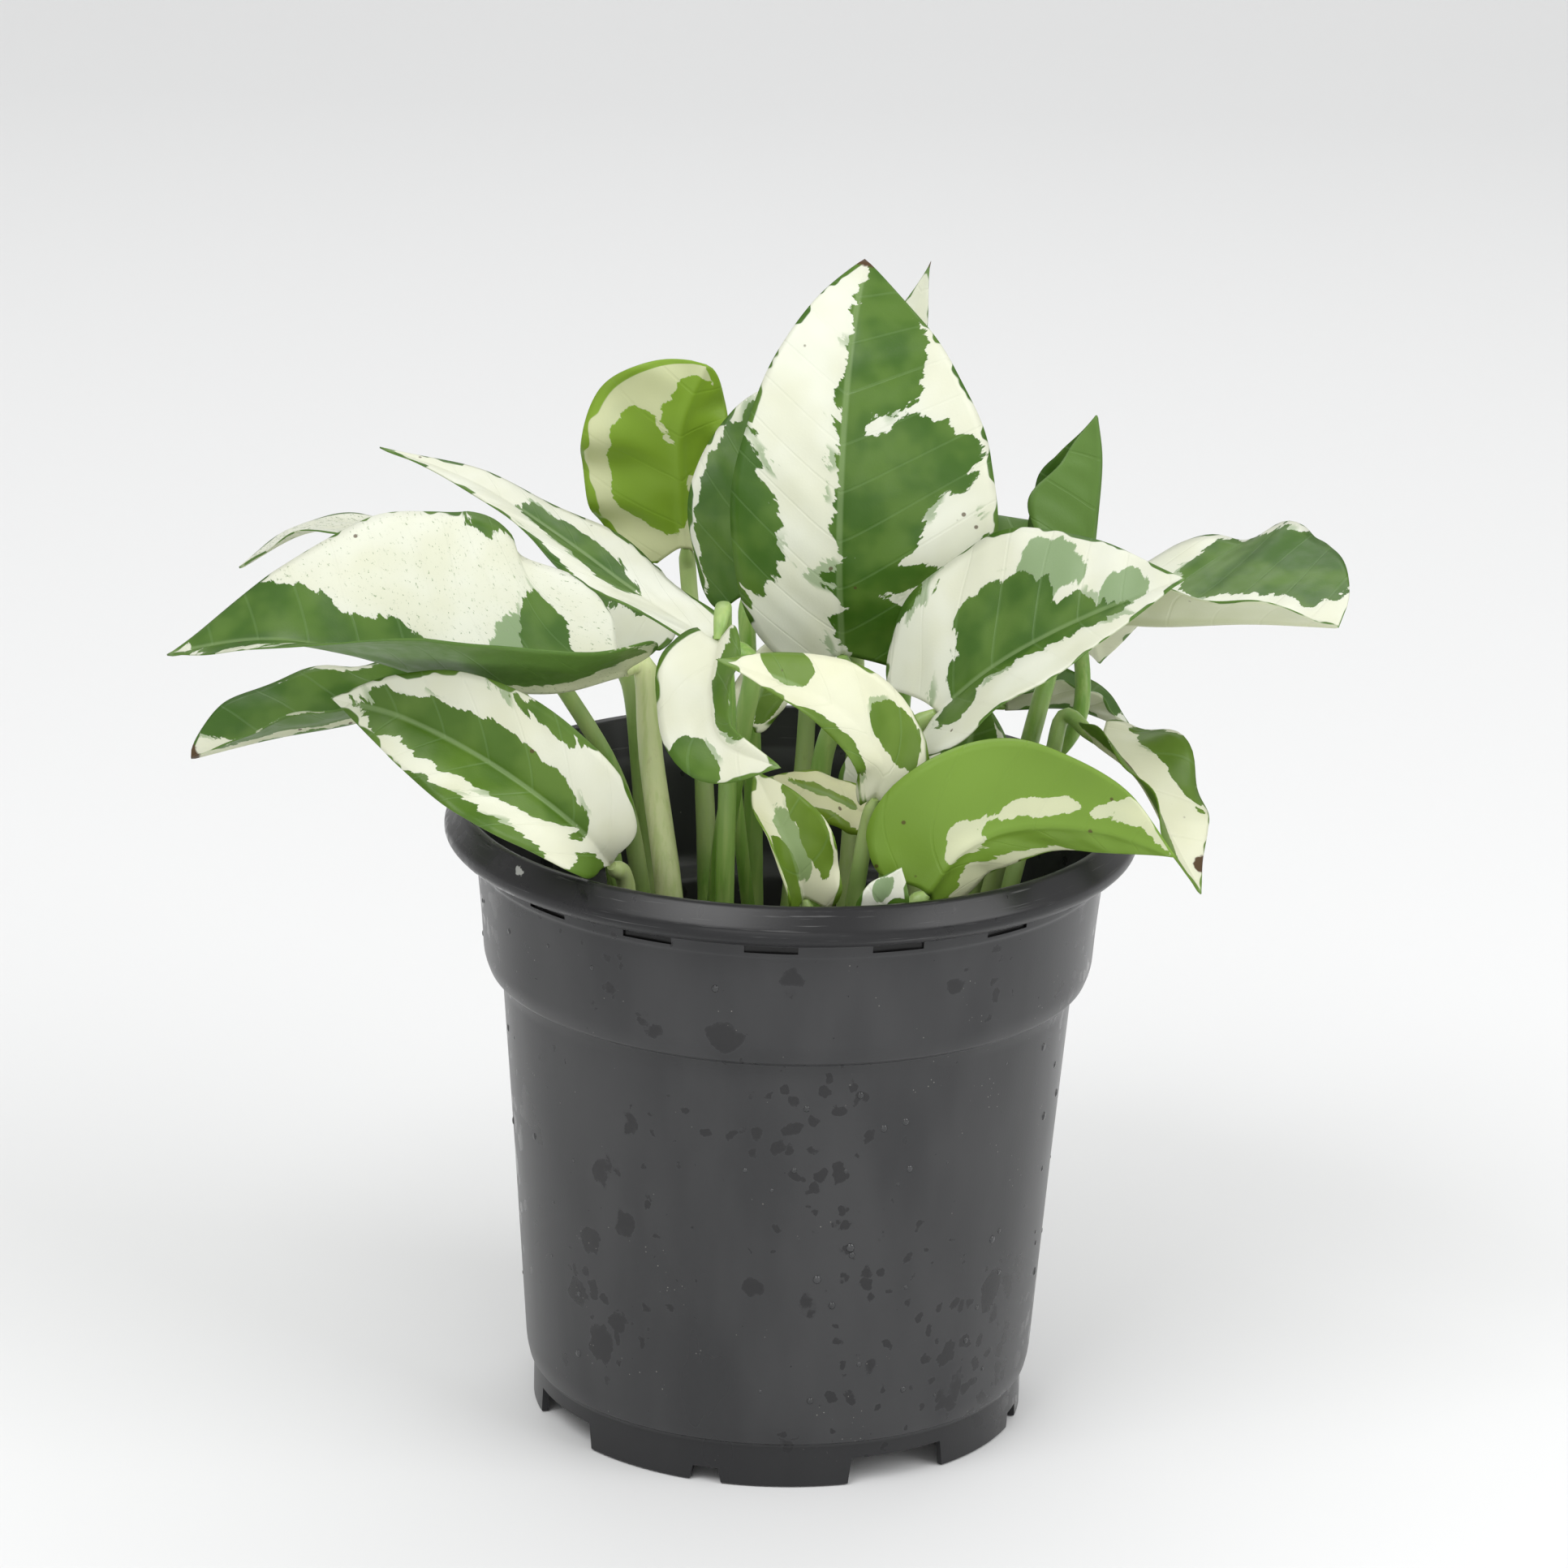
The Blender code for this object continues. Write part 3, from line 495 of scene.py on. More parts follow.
def leafSurface(leaf, s, t, length):
    along = min(max(s, 0.0), 1.0)
    point = curvePoint(leaf["rib"], along)
    ahead = curvePoint(leaf["rib"], along + 0.02) - curvePoint(leaf["rib"], along - 0.02)
    ahead.normalize()
    if s < 0:
        point = point + ahead * (s * length)
    up = between(leaf["face"], along)
    up = (up - ahead * up.dot(ahead)).normalized()
    right = ahead.cross(up)
    side, sign = ("Right", 1) if t >= 0 else ("Left", -1)
    width = leaf[side.lower()] * mm
    reach = abs(t)
    fold = radians(between(leaf["fold" + side], along))
    bend = radians(between(leaf["curl" + side], along)) / width
    if abs(bend) < 1e-4:
        out, rise = reach * cos(fold), reach * sin(fold)
    else:
        out = (sin(fold + bend * reach) - sin(fold)) / bend
        rise = (cos(fold) - cos(fold + bend * reach)) / bend
    part = reach / width
    turns = leaf["waves"] * s + leaf["phase"] + (0.37 if sign > 0 else 0)
    rise += leaf["wave"] * mm * sin(2 * pi * turns) * part ** 2
    dent = noise.noise(Vector((s * 3.1, t / width * 1.7, leaf["seed"])))
    rise += leaf["buckle"] * mm * dent * min(part * 2, 1)
    return point + right * (sign * out) + up * rise


def patchField(patches, s, part, length, width):
    # millimetres inside the nearest patch's edge, below zero outside
    best = -7.0
    for middle, across, longHalf, wideHalf in patches:
        a, b = longHalf * length / mm, wideHalf * width / mm
        r = sqrt(((s - middle) / longHalf) ** 2 + ((part - across) / wideHalf) ** 2)
        best = max(best, (1 - r) * min(a, b))
    return best


leafDetail = {
    "rows": 72,             # faces along the blade
    "columns": 15,          # faces from the rib to a margin
    "veins": 5.5,           # side veins from base to tip
    "ribGroove": 0.35,      # millimetres
    "ribRidge": 0.75,
    "quilting": 0.10,
}


def makeLeaf(name, number, material):
    recipe = leaves[name]
    both = {part + side: recipe[part] for part in ("fold", "curl") if part in recipe
            for side in ("Left", "Right")}
    leaf = {**plainLeaf, **both, **recipe, "seed": number * 7.3}
    leaf["rib"] = [potAxis + Vector(p) * mm for p in leaf["rib"]]
    leaf["face"] = [Vector(v) for v in leaf["face"]]
    leaf["phase"] = leaf["phase"] + number * 0.31
    samples = [curvePoint(leaf["rib"], i / 40) for i in range(41)]
    length = sum((samples[i + 1] - samples[i]).length for i in range(40))
    small = min(1.0, (leaf["left"] + leaf["right"]) / 30)
    calm = min(1.0, max(0.3, (leaf["left"] + leaf["right"]) / 46))   # narrow leaves have less ragged patches
    rows, columns = max(30, int(leafDetail["rows"] * small)), max(8, int(leafDetail["columns"] * small))
    builder = bmesh.new()
    grid, facts = [], []
    for i in range(rows):
        u = (i / rows) ** 0.92
        row, rowFacts = [], []
        for j in range(-columns, columns + 1):
            v = (abs(j) / columns) ** 1.25
            width = leaf["right" if j >= 0 else "left"] * mm
            uneven = 1 + 0.045 * noise.noise(Vector((u * 5.5, 3.0 if j >= 0 else 9.0, leaf["seed"])))
            edge, out = leafMargin(leaf, u, width * uneven)
            rib = u ** 1.05
            s = rib + (edge - rib) * v ** 1.4
            t = out * v * (1 if j >= 0 else -1)
            row.append(builder.verts.new(leafSurface(leaf, s, t, length)))
            rowFacts.append((s, t, width, out * (1 - v), v))
        grid.append(row)
        facts.append(rowFacts)
    tip = builder.verts.new(leaf["rib"][-1])
    for i in range(rows - 1):
        for j in range(2 * columns):
            builder.faces.new((grid[i][j], grid[i][j + 1], grid[i + 1][j + 1], grid[i + 1][j]))
    for j in range(2 * columns):
        builder.faces.new((grid[-1][j], grid[-1][j + 1], tip))
    builder.normal_update()
    middles = [v for row in grid for v in row] + [tip]
    flat = [f for row in facts for f in row] + [(1.0, 0.0, leaf["right"] * mm, 0.0, 1.0)]
    places = [v.co.copy() for v in middles]
    normals = [v.normal.copy() for v in middles]
    builder.free()

    builder = bmesh.new()
    layers = [builder.verts.layers.float.new(n) for n in ("greenField", "greyField", "marginGap", "underside",
                                                          "speckle", "yellow", "brown", "greenEdge")]
    veinSpace = builder.verts.layers.float_vector.new("veinSpace")
    sheets = []
    for under in (0, 1):
        sheet = []
        for place, normal, (s, t, width, gap, v) in zip(places, normals, flat):
            part = t / width
            vein = s - 0.30 * abs(part) ** 1.15 * (1 - 0.5 * min(max(s, 0), 1))
            distance = abs(t) / mm
            thick = leaf["thickness"] / 2 * (1 - 0.6 * v ** 6)
            ribSize = small * (1 - 0.6 * min(max(s, 0), 1))
            quilt = leafDetail["quilting"] * small * min(1, distance / 3) * (1 - v ** 4)
            quilt *= cos(2 * pi * vein * leafDetail["veins"])
            if under:
                lift = -thick - leafDetail["ribRidge"] * ribSize * exp(-(distance / 0.9) ** 2) + quilt
            else:
                lift = thick - leafDetail["ribGroove"] * ribSize * exp(-(distance / 0.7) ** 2) + quilt
            vert = builder.verts.new(place + normal * lift * mm)
            greenHere = patchField(leaf["green"], s, part, length, width) + leaf["allGreen"] * 4
            greenHere = min(greenHere, -patchField(leaf["cream"], s, part, length, width))
            greyHere = patchField(leaf["grey"], s, part, length, width)
            brown = [leaf["tipBrown"] * exp(-((1 - s) * length / mm / 1.6) ** 2)]
            brown += [exp(-(patchField([sore], s, part, length, width) - 1) ** 2) for sore in leaf["sores"]]
            values = (greenHere / calm, greyHere / calm, gap / mm, float(under), leaf["speckle"],
                      leaf["yellow"], max(brown), leaf["edgeGreen"])
            for layer, value in zip(layers, values):
                vert[layer] = value
            vert[veinSpace] = Vector((vein * length / mm, part * width / mm, leaf["seed"]))
            sheet.append(vert)
        sheets.append(sheet)
    wide = 2 * columns + 1
    last = len(middles) - 1
    for sheet, flip in ((sheets[0], False), (sheets[1], True)):
        for i in range(rows - 1):
            for j in range(2 * columns):
                a = i * wide + j
                face = [sheet[a], sheet[a + 1], sheet[a + wide + 1], sheet[a + wide]]
                builder.faces.new(face[::-1] if flip else face)
        for j in range(2 * columns):
            a = (rows - 1) * wide + j
            face = [sheet[a], sheet[a + 1], sheet[last]]
            builder.faces.new(face[::-1] if flip else face)
    rim = list(range(wide)) + [i * wide + wide - 1 for i in range(1, rows)] + [last]
    rim += [i * wide for i in range(rows - 1, 0, -1)]
    for a, b in zip(rim, rim[1:] + rim[:1]):
        builder.faces.new((sheets[0][b], sheets[0][a], sheets[1][a], sheets[1][b]))
    bmesh.ops.recalc_face_normals(builder, faces=builder.faces)
    return meshObject("leaf_" + name, builder, material)


def leafMaterial():
    m = Finish("pothosLeaf")
    vein = m.attribute("veinSpace", "Vector")
    place = m.place()
    under = m.attribute("underside")
    gap = m.attribute("marginGap")
    yellow = m.attribute("yellow")
    # jagged patch edges that follow the side veins
    along = m.stretch(vein, (0.24, 0.13, 1.0))
    coarse = m.noise(along, 1.0, 1.0)
    fine = m.noise(m.stretch(vein, (0.85, 0.5, 1.0)), 1.0, 4.0, 0.6)
    shake = m.plus(m.times(m.minus(coarse, 0.5), 6.0),
                   m.times(m.minus(fine, 0.5), 3.2))
    field = m.plus(m.attribute("greenField"), shake)
    green = m.ramp(field, -0.10, 0.12)
    # stray green flecks in the cream
    flecks = m.noise(m.stretch(vein, (1.7, 1.2, 1.0)), 1.0, 6.0, 0.75)
    level = m.minus(0.75, m.times(m.attribute("speckle"), 0.28))
    fleck = m.ramp(m.minus(flecks, level), 0.0, 0.06)
    green = m.most(green, m.times(fleck, 0.75))
    # a dark thread of green along parts of the margin
    thread = m.noise(m.stretch(vein, (0.16, 0.16, 1.0)), 1.0, 1.0)
    edgeWide = m.times(m.attribute("greenEdge"), 2.2)
    edgeWide = m.times(m.ramp(thread, 0.42, 0.62), edgeWide)
    edge = m.ramp(m.minus(edgeWide, gap), -0.1, 0.15)
    green = m.most(green, edge)
    grey = m.ramp(m.plus(m.attribute("greyField"), shake), -0.2, 0.2)
    # here and there a patch has a paler green fringe
    fringe = m.noise(m.stretch(vein, (0.10, 0.10, 1.0)), 1.0, 1.0)
    softField = m.plus(field, m.times(m.minus(fine, 0.5), 2.0))
    halo = m.times(m.ramp(softField, -1.7, -1.3), m.ramp(fringe, 0.56, 0.64))
    grey = m.most(grey, m.times(halo, 0.75))
    # colours
    blotch = m.noise(place, 120.0, 2.0)
    deep = m.mix(m.ramp(blotch, 0.35, 0.65), (0.058, 0.150, 0.012, 1), (0.115, 0.225, 0.032, 1))
    deep = m.mix(m.times(yellow, 0.8), deep, (0.27, 0.40, 0.030, 1))
    paleGreen = m.mix(m.times(yellow, 0.6), (0.30, 0.42, 0.22, 1), (0.33, 0.44, 0.10, 1))
    cream = m.mix(m.ramp(m.noise(place, 90.0, 2.0), 0.3, 0.7), (0.82, 0.83, 0.69, 1), (0.87, 0.885, 0.79, 1))
    cream = m.mix(m.times(yellow, 0.7), cream, (0.84, 0.82, 0.42, 1))
    cream = m.mix(m.times(grey, m.minus(1.0, green)), cream, paleGreen)
    colour = m.mix(green, cream, deep)
    # side veins show a little paler on green
    wave = m.add("ShaderNodeTexWave", {"Vector": m.stretch(vein, (0.036, 0.004, 0.0)), "Scale": 1.0,
                                       "Distortion": 2.2, "Detail": 1.0, "Detail Scale": 0.5},
                 wave_type="BANDS", bands_direction="X").outputs["Fac"]
    veinLine = m.ramp(wave, 0.985, 1.0)
    veinHere = m.times(veinLine, m.times(green, 0.22))
    colour = m.mix(veinHere, colour, (0.20, 0.34, 0.12, 1))
    # the rib is a pale line
    across = m.math("ABSOLUTE", m.part(vein, "Y"))
    ribLine = m.ramp(across, 0.75, 0.25)
    ribHere = m.times(ribLine, m.times(green, 0.45))
    colour = m.mix(ribHere, colour, (0.33, 0.47, 0.20, 1))
    # underside: duller and paler; its bright yellow-green is partly its own colour and partly painted light
    # that lifts the shade the undersides sit in
    belowGreenWithPaintedLight = m.mix(m.times(yellow, 0.9), (0.14, 0.27, 0.050, 1), (0.34, 0.54, 0.035, 1))
    belowCream = m.mix(m.times(yellow, 0.5), (0.74, 0.77, 0.56, 1), (0.78, 0.82, 0.42, 1))
    below = m.mix(green, belowCream, belowGreenWithPaintedLight)
    colour = m.mix(under, colour, below)
    # small brown specks, brown tip
    specks = m.voronoi(place, 210.0)
    pick = m.noise(place, 75.0, 0.0)
    speck = m.times(m.ramp(specks, 0.10, 0.06), m.ramp(pick, 0.58, 0.62))
    colour = m.mix(m.times(speck, 0.8), colour, (0.10, 0.055, 0.02, 1))
    ragged = m.times(m.minus(fine, 0.5), 0.5)
    brown = m.ramp(m.plus(m.attribute("brown"), ragged), 0.35, 0.6)
    colour = m.mix(brown, colour, (0.10, 0.055, 0.02, 1))
    grain = m.noise(place, 2600.0, 2.0)
    roughness = m.ramp(m.noise(place, 400.0, 3.0), 0.3, 0.7, 0.32, 0.44)
    swell = m.noise(m.stretch(vein, (0.16, 0.10, 1.0)), 1.0, 0.0)
    bump = m.bump(swell, 0.35, 0.0014)
    relief = m.plus(m.times(grain, 0.25), m.times(veinLine, -0.6))
    bump = m.bump(relief, 0.35, 0.0002, bump)
    m.finish(Base_Color=colour, Roughness=roughness, Normal=bump)
    m.shader.inputs["Specular IOR Level"].default_value = 0.42
    glow = m.add("ShaderNodeBsdfTranslucent", {"Color": colour, "Normal": bump})
    both = m.add("ShaderNodeMixShader", {0: 0.30, 1: m.shader.outputs[0], 2: glow.outputs[0]})
    m.tree.links.new(both.outputs[0], m.output.inputs["Surface"])
    return m.material


stemDetail = {
    "sides": 16,
    "pieces": 60,
    "groove": 0.22,
    "roughness": 0.4,
    "paleGreen": (0.36, 0.48, 0.14, 1),
    "green": (0.16, 0.32, 0.045, 1),
    "cream": (0.64, 0.68, 0.36, 1),
    "dried": (0.12, 0.06, 0.025, 1),
}

# foot: place in the soil. pale: 0 green to 1 cream.
stems = {
    "crown": dict(foot=(4, 4), via=[(4, 5, 95), (5, 6, 115)], radii=(2.2, 1.6), pale=0.15),
    "behind_crown": dict(foot=(-6, 16), via=[(-7, 17, 110)], radii=(1.8, 1.4), pale=0.1),
    "back_left": dict(foot=(-14, 28), via=[(-16, 36, 105)], radii=(1.9, 1.4), pale=0.3),
    "long_left": dict(foot=(-12, -10), via=[(-12, -11, 100), (-9, -15, 126)], radii=(2.1, 1.6), pale=0.1),
    "broad_left": dict(foot=(-20, -26), via=[(-20, -28, 98), (-24, -22, 124)], radii=(2.6, 1.9), lead=3,
                       pale=0.75),
    "thin_far_left": dict(foot=(-24, 16), via=[(-30, 18, 105), (-44, 17, 130)], radii=(1.7, 1.3), pale=0.2),
    "low_left": dict(foot=(-28, 4), via=[(-33, 5, 105), (-48, 9, 125)], radii=(1.7, 1.3), pale=0.2),
    "rim_left": dict(foot=(-26, -34), via=[(-27, -34, 90)], radii=(1.9, 1.5), lead=5, pale=0.6),
    "curled_middle": dict(foot=(-11, -22), via=[(-11, -27, 100), (-11, -28, 130), (-12, -28, 146)],
                          radii=(1.8, 1.3), lead=5, pale=0.1),
    "arching": dict(foot=(9, -30), via=[(10, -35, 95)], radii=(1.8, 1.3), pale=0.25),
    "right_fan": dict(foot=(20, -12), via=[(21, -13, 100), (22, -17, 118)], radii=(2.0, 1.5), pale=0.4),
    "behind_right": dict(foot=(16, 10), via=[(18, 13, 105)], radii=(1.8, 1.4), pale=0.1),
    "upright_fold": dict(foot=(29, 13), via=[(36, 13, 104), (49, 9, 122)], radii=(1.8, 1.3), pale=0.1),
    "far_right": dict(foot=(31, 2), via=[(38, 2, 108), (43, 4, 130)], radii=(1.9, 1.5), pale=0.3),
    "low_right": dict(foot=(20, 23), via=[(23, 19, 100)], radii=(1.6, 1.2), pale=0.1),
    "hanging_right": dict(foot=(35, -12), via=[(38, -12, 100), (44, -4, 118)], radii=(1.7, 1.3), pale=0.2),
    "front_right": dict(foot=(20, -38), via=[(18, -41, 93)], radii=(1.9, 1.5), lead=4, pale=0.3),
    "inner_right": dict(foot=(26, -9), via=[], radii=(1.4, 1.1), lead=5, pale=0.2),
    "small_yellow": dict(foot=(17, -22), via=[(17, -20, 100)], radii=(1.4, 1.0), lead=3, pale=0.3),
    "curly_new": dict(foot=(3, -38), via=[(4, -42, 95)], radii=(1.4, 1.1), lead=4, pale=0.4),
    "small_front": dict(foot=(12, -39), via=[(13, -46, 95)], radii=(1.3, 1.0), lead=3, pale=0.7),
    "small_pale": dict(foot=(9, -8), via=[(11, -10, 98)], radii=(1.3, 1.0), lead=4, pale=0.7),
    "peeking_tip": dict(foot=(10, 28), via=[(11, 36, 110)], radii=(1.8, 1.4), pale=0.3),
    "dark_inner": dict(foot=(-5, 4), via=[], radii=(1.3, 1.0), lead=5, pale=0.1),
    "rear_left": dict(foot=(-24, 26), via=[(-27, 29, 105)], radii=(1.9, 1.4), pale=0.2),
    "rear_middle": dict(foot=(0, 34), via=[(2, 42, 105)], radii=(1.9, 1.4), pale=0.3),
    "rear_right": dict(foot=(24, 32), via=[(29, 35, 105)], radii=(1.8, 1.4), pale=0.2),
}


def stemTree():
    # a grooved, slightly knobbly tube along a curve whose points carry their own radius
    g = ShapeGraph("stemTube", Pieces=60, Sides=16, Groove=0.2, Knobs=0.00012, Pale=0.3, Skin=None)
    path = g.take("GeometryNodeResampleCurve", {"Curve": g.given["Geometry"], "Count": g.given["Pieces"]})
    path = g.keep(path, "stemAlong", g.take("GeometryNodeSplineParameter", out="Factor"))
    circle = g.take("GeometryNodeCurvePrimitiveCircle", {"Resolution": g.given["Sides"], "Radius": 1.0},
                    mode="RADIUS")
    # the groove: points near +Y of the ring are pulled in
    place = g.take("GeometryNodeInputPosition")
    high = g.take("ShaderNodeSeparateXYZ", {0: place}, out="Y")
    near = g.take("ShaderNodeMapRange", {"Value": high, "From Min": 0.55, "From Max": 1.0})
    rest = g.minus(1.0, g.times(near, g.given["Groove"]))
    ring = g.take("GeometryNodeSetPosition", {"Geometry": circle, "Position": g.scaled(place, rest)})
    tube = g.take("GeometryNodeCurveToMesh", {"Curve": path, "Profile Curve": ring, "Fill Caps": True,
                                              "Scale": g.take("GeometryNodeInputRadius")})
    # small knobs
    bumps = g.take("ShaderNodeTexNoise", {"Scale": 220.0, "Detail": 1.0})
    much = g.times(g.minus(bumps, 0.5), g.given["Knobs"])
    push = g.scaled(g.take("GeometryNodeInputNormal"), much)
    tube = g.take("GeometryNodeSetPosition", {"Geometry": tube, "Offset": push})
    tube = g.keep(tube, "pale", g.given["Pale"])
    return g.finish(g.take("GeometryNodeSetShadeSmooth", {0: tube}))


def makeStem(name, tree, material):
    stem, leaf = stems[name], leaves[name]
    rib = [potAxis + Vector(p) * mm for p in leaf["rib"]]
    ahead = (curvePoint(rib, 0.02) - rib[0]).normalized()
    x, y = stem["foot"]
    soilTop = soilHigh.z
    start = potAxis + Vector((x * mm, y * mm, soilTop + 1 * mm))
    points = [start] + [potAxis + Vector(p) * mm for p in stem["via"]]
    points += [rib[0] - ahead * (1.3 + stem.get("lead", 7)) * mm, rib[0] - ahead * 0.2 * mm]
    count = 26
    path = [start - Vector((0, 0, 7 * mm))] + [curvePoint(points, i / count) for i in range(count + 1)]
    data = bpy.data.curves.new("stem_" + name, "CURVE")
    data.dimensions = "3D"
    spline = data.splines.new("POLY")
    spline.points.add(len(path) - 1)
    for i, point in enumerate(path):
        spline.points[i].co = (*point, 1)
        part = max(i - 1, 0) / count
        radius = stem["radii"][0] + (stem["radii"][1] - stem["radii"][0]) * part
        radius *= 1 - 0.5 * max(0.0, (part - 0.95) / 0.05)
        radius *= 1 + 0.16 * exp(-((part - 0.97) / 0.05) ** 2) + 0.12 * exp(-(part / 0.12) ** 2)
        spline.points[i].radius = radius * mm
    piece = bpy.data.objects.new("stem_" + name, data)
    bpy.context.scene.collection.objects.link(piece)
    return applyTree(piece, tree, Pieces=stemDetail["pieces"], Sides=stemDetail["sides"],
                     Groove=stemDetail["groove"], Pale=stem["pale"], Skin=material)


def stemMaterial():
    m = Finish("pothosStem")
    place = m.place()
    pale = m.attribute("pale")
    along = m.attribute("stemAlong")
    streaks = m.noise(m.stretch(place, (900.0, 900.0, 60.0)), 1.0, 3.0)
    blotch = m.noise(m.stretch(place, (140.0, 140.0, 40.0)), 1.0, 2.0)
    amount = m.plus(pale, m.times(m.minus(blotch, 0.5), 1.1), True)
    colour = m.mix(amount, stemDetail["green"], stemDetail["cream"])
    colour = m.mix(m.times(m.ramp(streaks, 0.45, 0.7), 0.45), colour, stemDetail["paleGreen"])
    foot = m.ramp(along, 0.30, 0.08)
    marks = m.ramp(m.noise(m.stretch(place, (500.0, 500.0, 120.0)), 1.0, 4.0, 0.7), 0.60, 0.68)
    dry = m.times(marks, m.plus(m.times(foot, 0.8), 0.12))
    colour = m.mix(dry, colour, stemDetail["dried"])
    bump = m.bump(m.plus(streaks, m.noise(place, 1800.0, 2.0)), 0.25, 0.0002)
    m.finish(Base_Color=colour, Normal=bump, Roughness=m.ramp(blotch, 0.3, 0.7, 0.34, 0.46))
    m.shader.inputs["Subsurface Weight"].default_value = 0.12
    m.shader.inputs["Subsurface Radius"].default_value = (0.6, 1.0, 0.3)
    m.shader.inputs["Subsurface Scale"].default_value = 0.001
    return m.material


pot = {
    "segments": 160,
    "outside": [(57.4, 110.0, 0.8), (59.2, 107.4, 0.5), (60.0, 106.2, 0.6), (60.0, 104.6, 0.9),
        (58.6, 103.2, 0.5), (55.8, 103.0, 0.5), (55.0, 102.0, 0.4), (54.8, 100.2, 0.3),
        (54.4, 99.6, 0.4), (53.4, 90.0, 3.0), (52.9, 82.8, 1.3), (51.9, 80.2, 0.7),
        (50.1, 79.4, 0.3), (49.55, 77.4, 0.8), (47.2, 48.0, 4.0), (44.5, 10.6, 1.4),
        (43.9, 8.2, 0.3), (43.3, 7.8, 0.15), (43.1, 7.2, 0.15), (43.1, 0.0, 0.25)],
    "inside": [(41.9, 0.0, 0.25), (41.9, 6.0, 0.5), (0.0, 6.0, 0), (0.0, 7.6, 0), (42.4, 7.6, 1.0),
        (43.3, 11.4, 1.5), (45.9, 48.0, 4.0), (48.2, 77.2, 1.0), (48.5, 80.2, 1.0),
        (50.6, 81.7, 0.8), (51.6, 83.6, 1.0), (52.1, 90.0, 2.0), (53.2, 101.0, 2.0),
        (56.0, 109.6, 0.4)],
    "slotCount": 16, "slotWidth": 9.0, "slotHeight": 1.3,
    "slotMiddle": 101.4,    # height
    "slotBottom": 54.2,     # radius at which the recess ends
    "slotTurn": -2.9,       # degrees
    "footGaps": [(29.75, 25.5, 4.7), (-16.0, 8.0, 2.6)],
    "drainRadius": 4.5, "drainRing": 31.0, "drainCount": 8,
    "wetColour": (0.020, 0.020, 0.021, 1),
}


def softOutline(corners):
    # each corner is (radius, height, how far it is rounded), all in millimetres
    points = []
    count = len(corners)
    for i, (r, z, soft) in enumerate(corners):
        here = Vector((r, z))
        if soft <= 0:
            points.append(here)
            continue
        before = Vector(corners[i - 1][:2])
        after = Vector(corners[(i + 1) % count][:2])
        back = min(soft, (before - here).length * 0.45)
        forth = min(soft, (after - here).length * 0.45)
        a = here + (before - here).normalized() * back
        b = here + (after - here).normalized() * forth
        for k in range(5):
            w = k / 4
            points.append(a * (1 - w) ** 2 + here * 2 * w * (1 - w) + b * w * w)
    return points


def turned(points, segments):
    builder = bmesh.new()
    verts = [builder.verts.new((p.x * mm, 0, p.y * mm)) for p in points]
    edges = []
    for i in range(len(verts)):
        a, b = verts[i], verts[(i + 1) % len(verts)]
        if a.co.x > 0 or b.co.x > 0:
            edges.append(builder.edges.new((a, b)))
    bmesh.ops.spin(builder, geom=verts + edges, cent=(0, 0, 0), axis=(0, 0, 1), angle=2 * pi,
                   steps=segments, use_merge=True)
    bmesh.ops.remove_doubles(builder, verts=builder.verts, dist=2e-6)
    bmesh.ops.dissolve_degenerate(builder, edges=builder.edges, dist=1e-7)
    bmesh.ops.recalc_face_normals(builder, faces=builder.faces)
    return builder


def cutterObject(name, builder):
    bmesh.ops.recalc_face_normals(builder, faces=builder.faces)
    mesh = bpy.data.meshes.new(name)
    builder.to_mesh(mesh)
    builder.free()
    cutter = bpy.data.objects.new(name, mesh)
    bpy.context.scene.collection.objects.link(cutter)
    return cutter


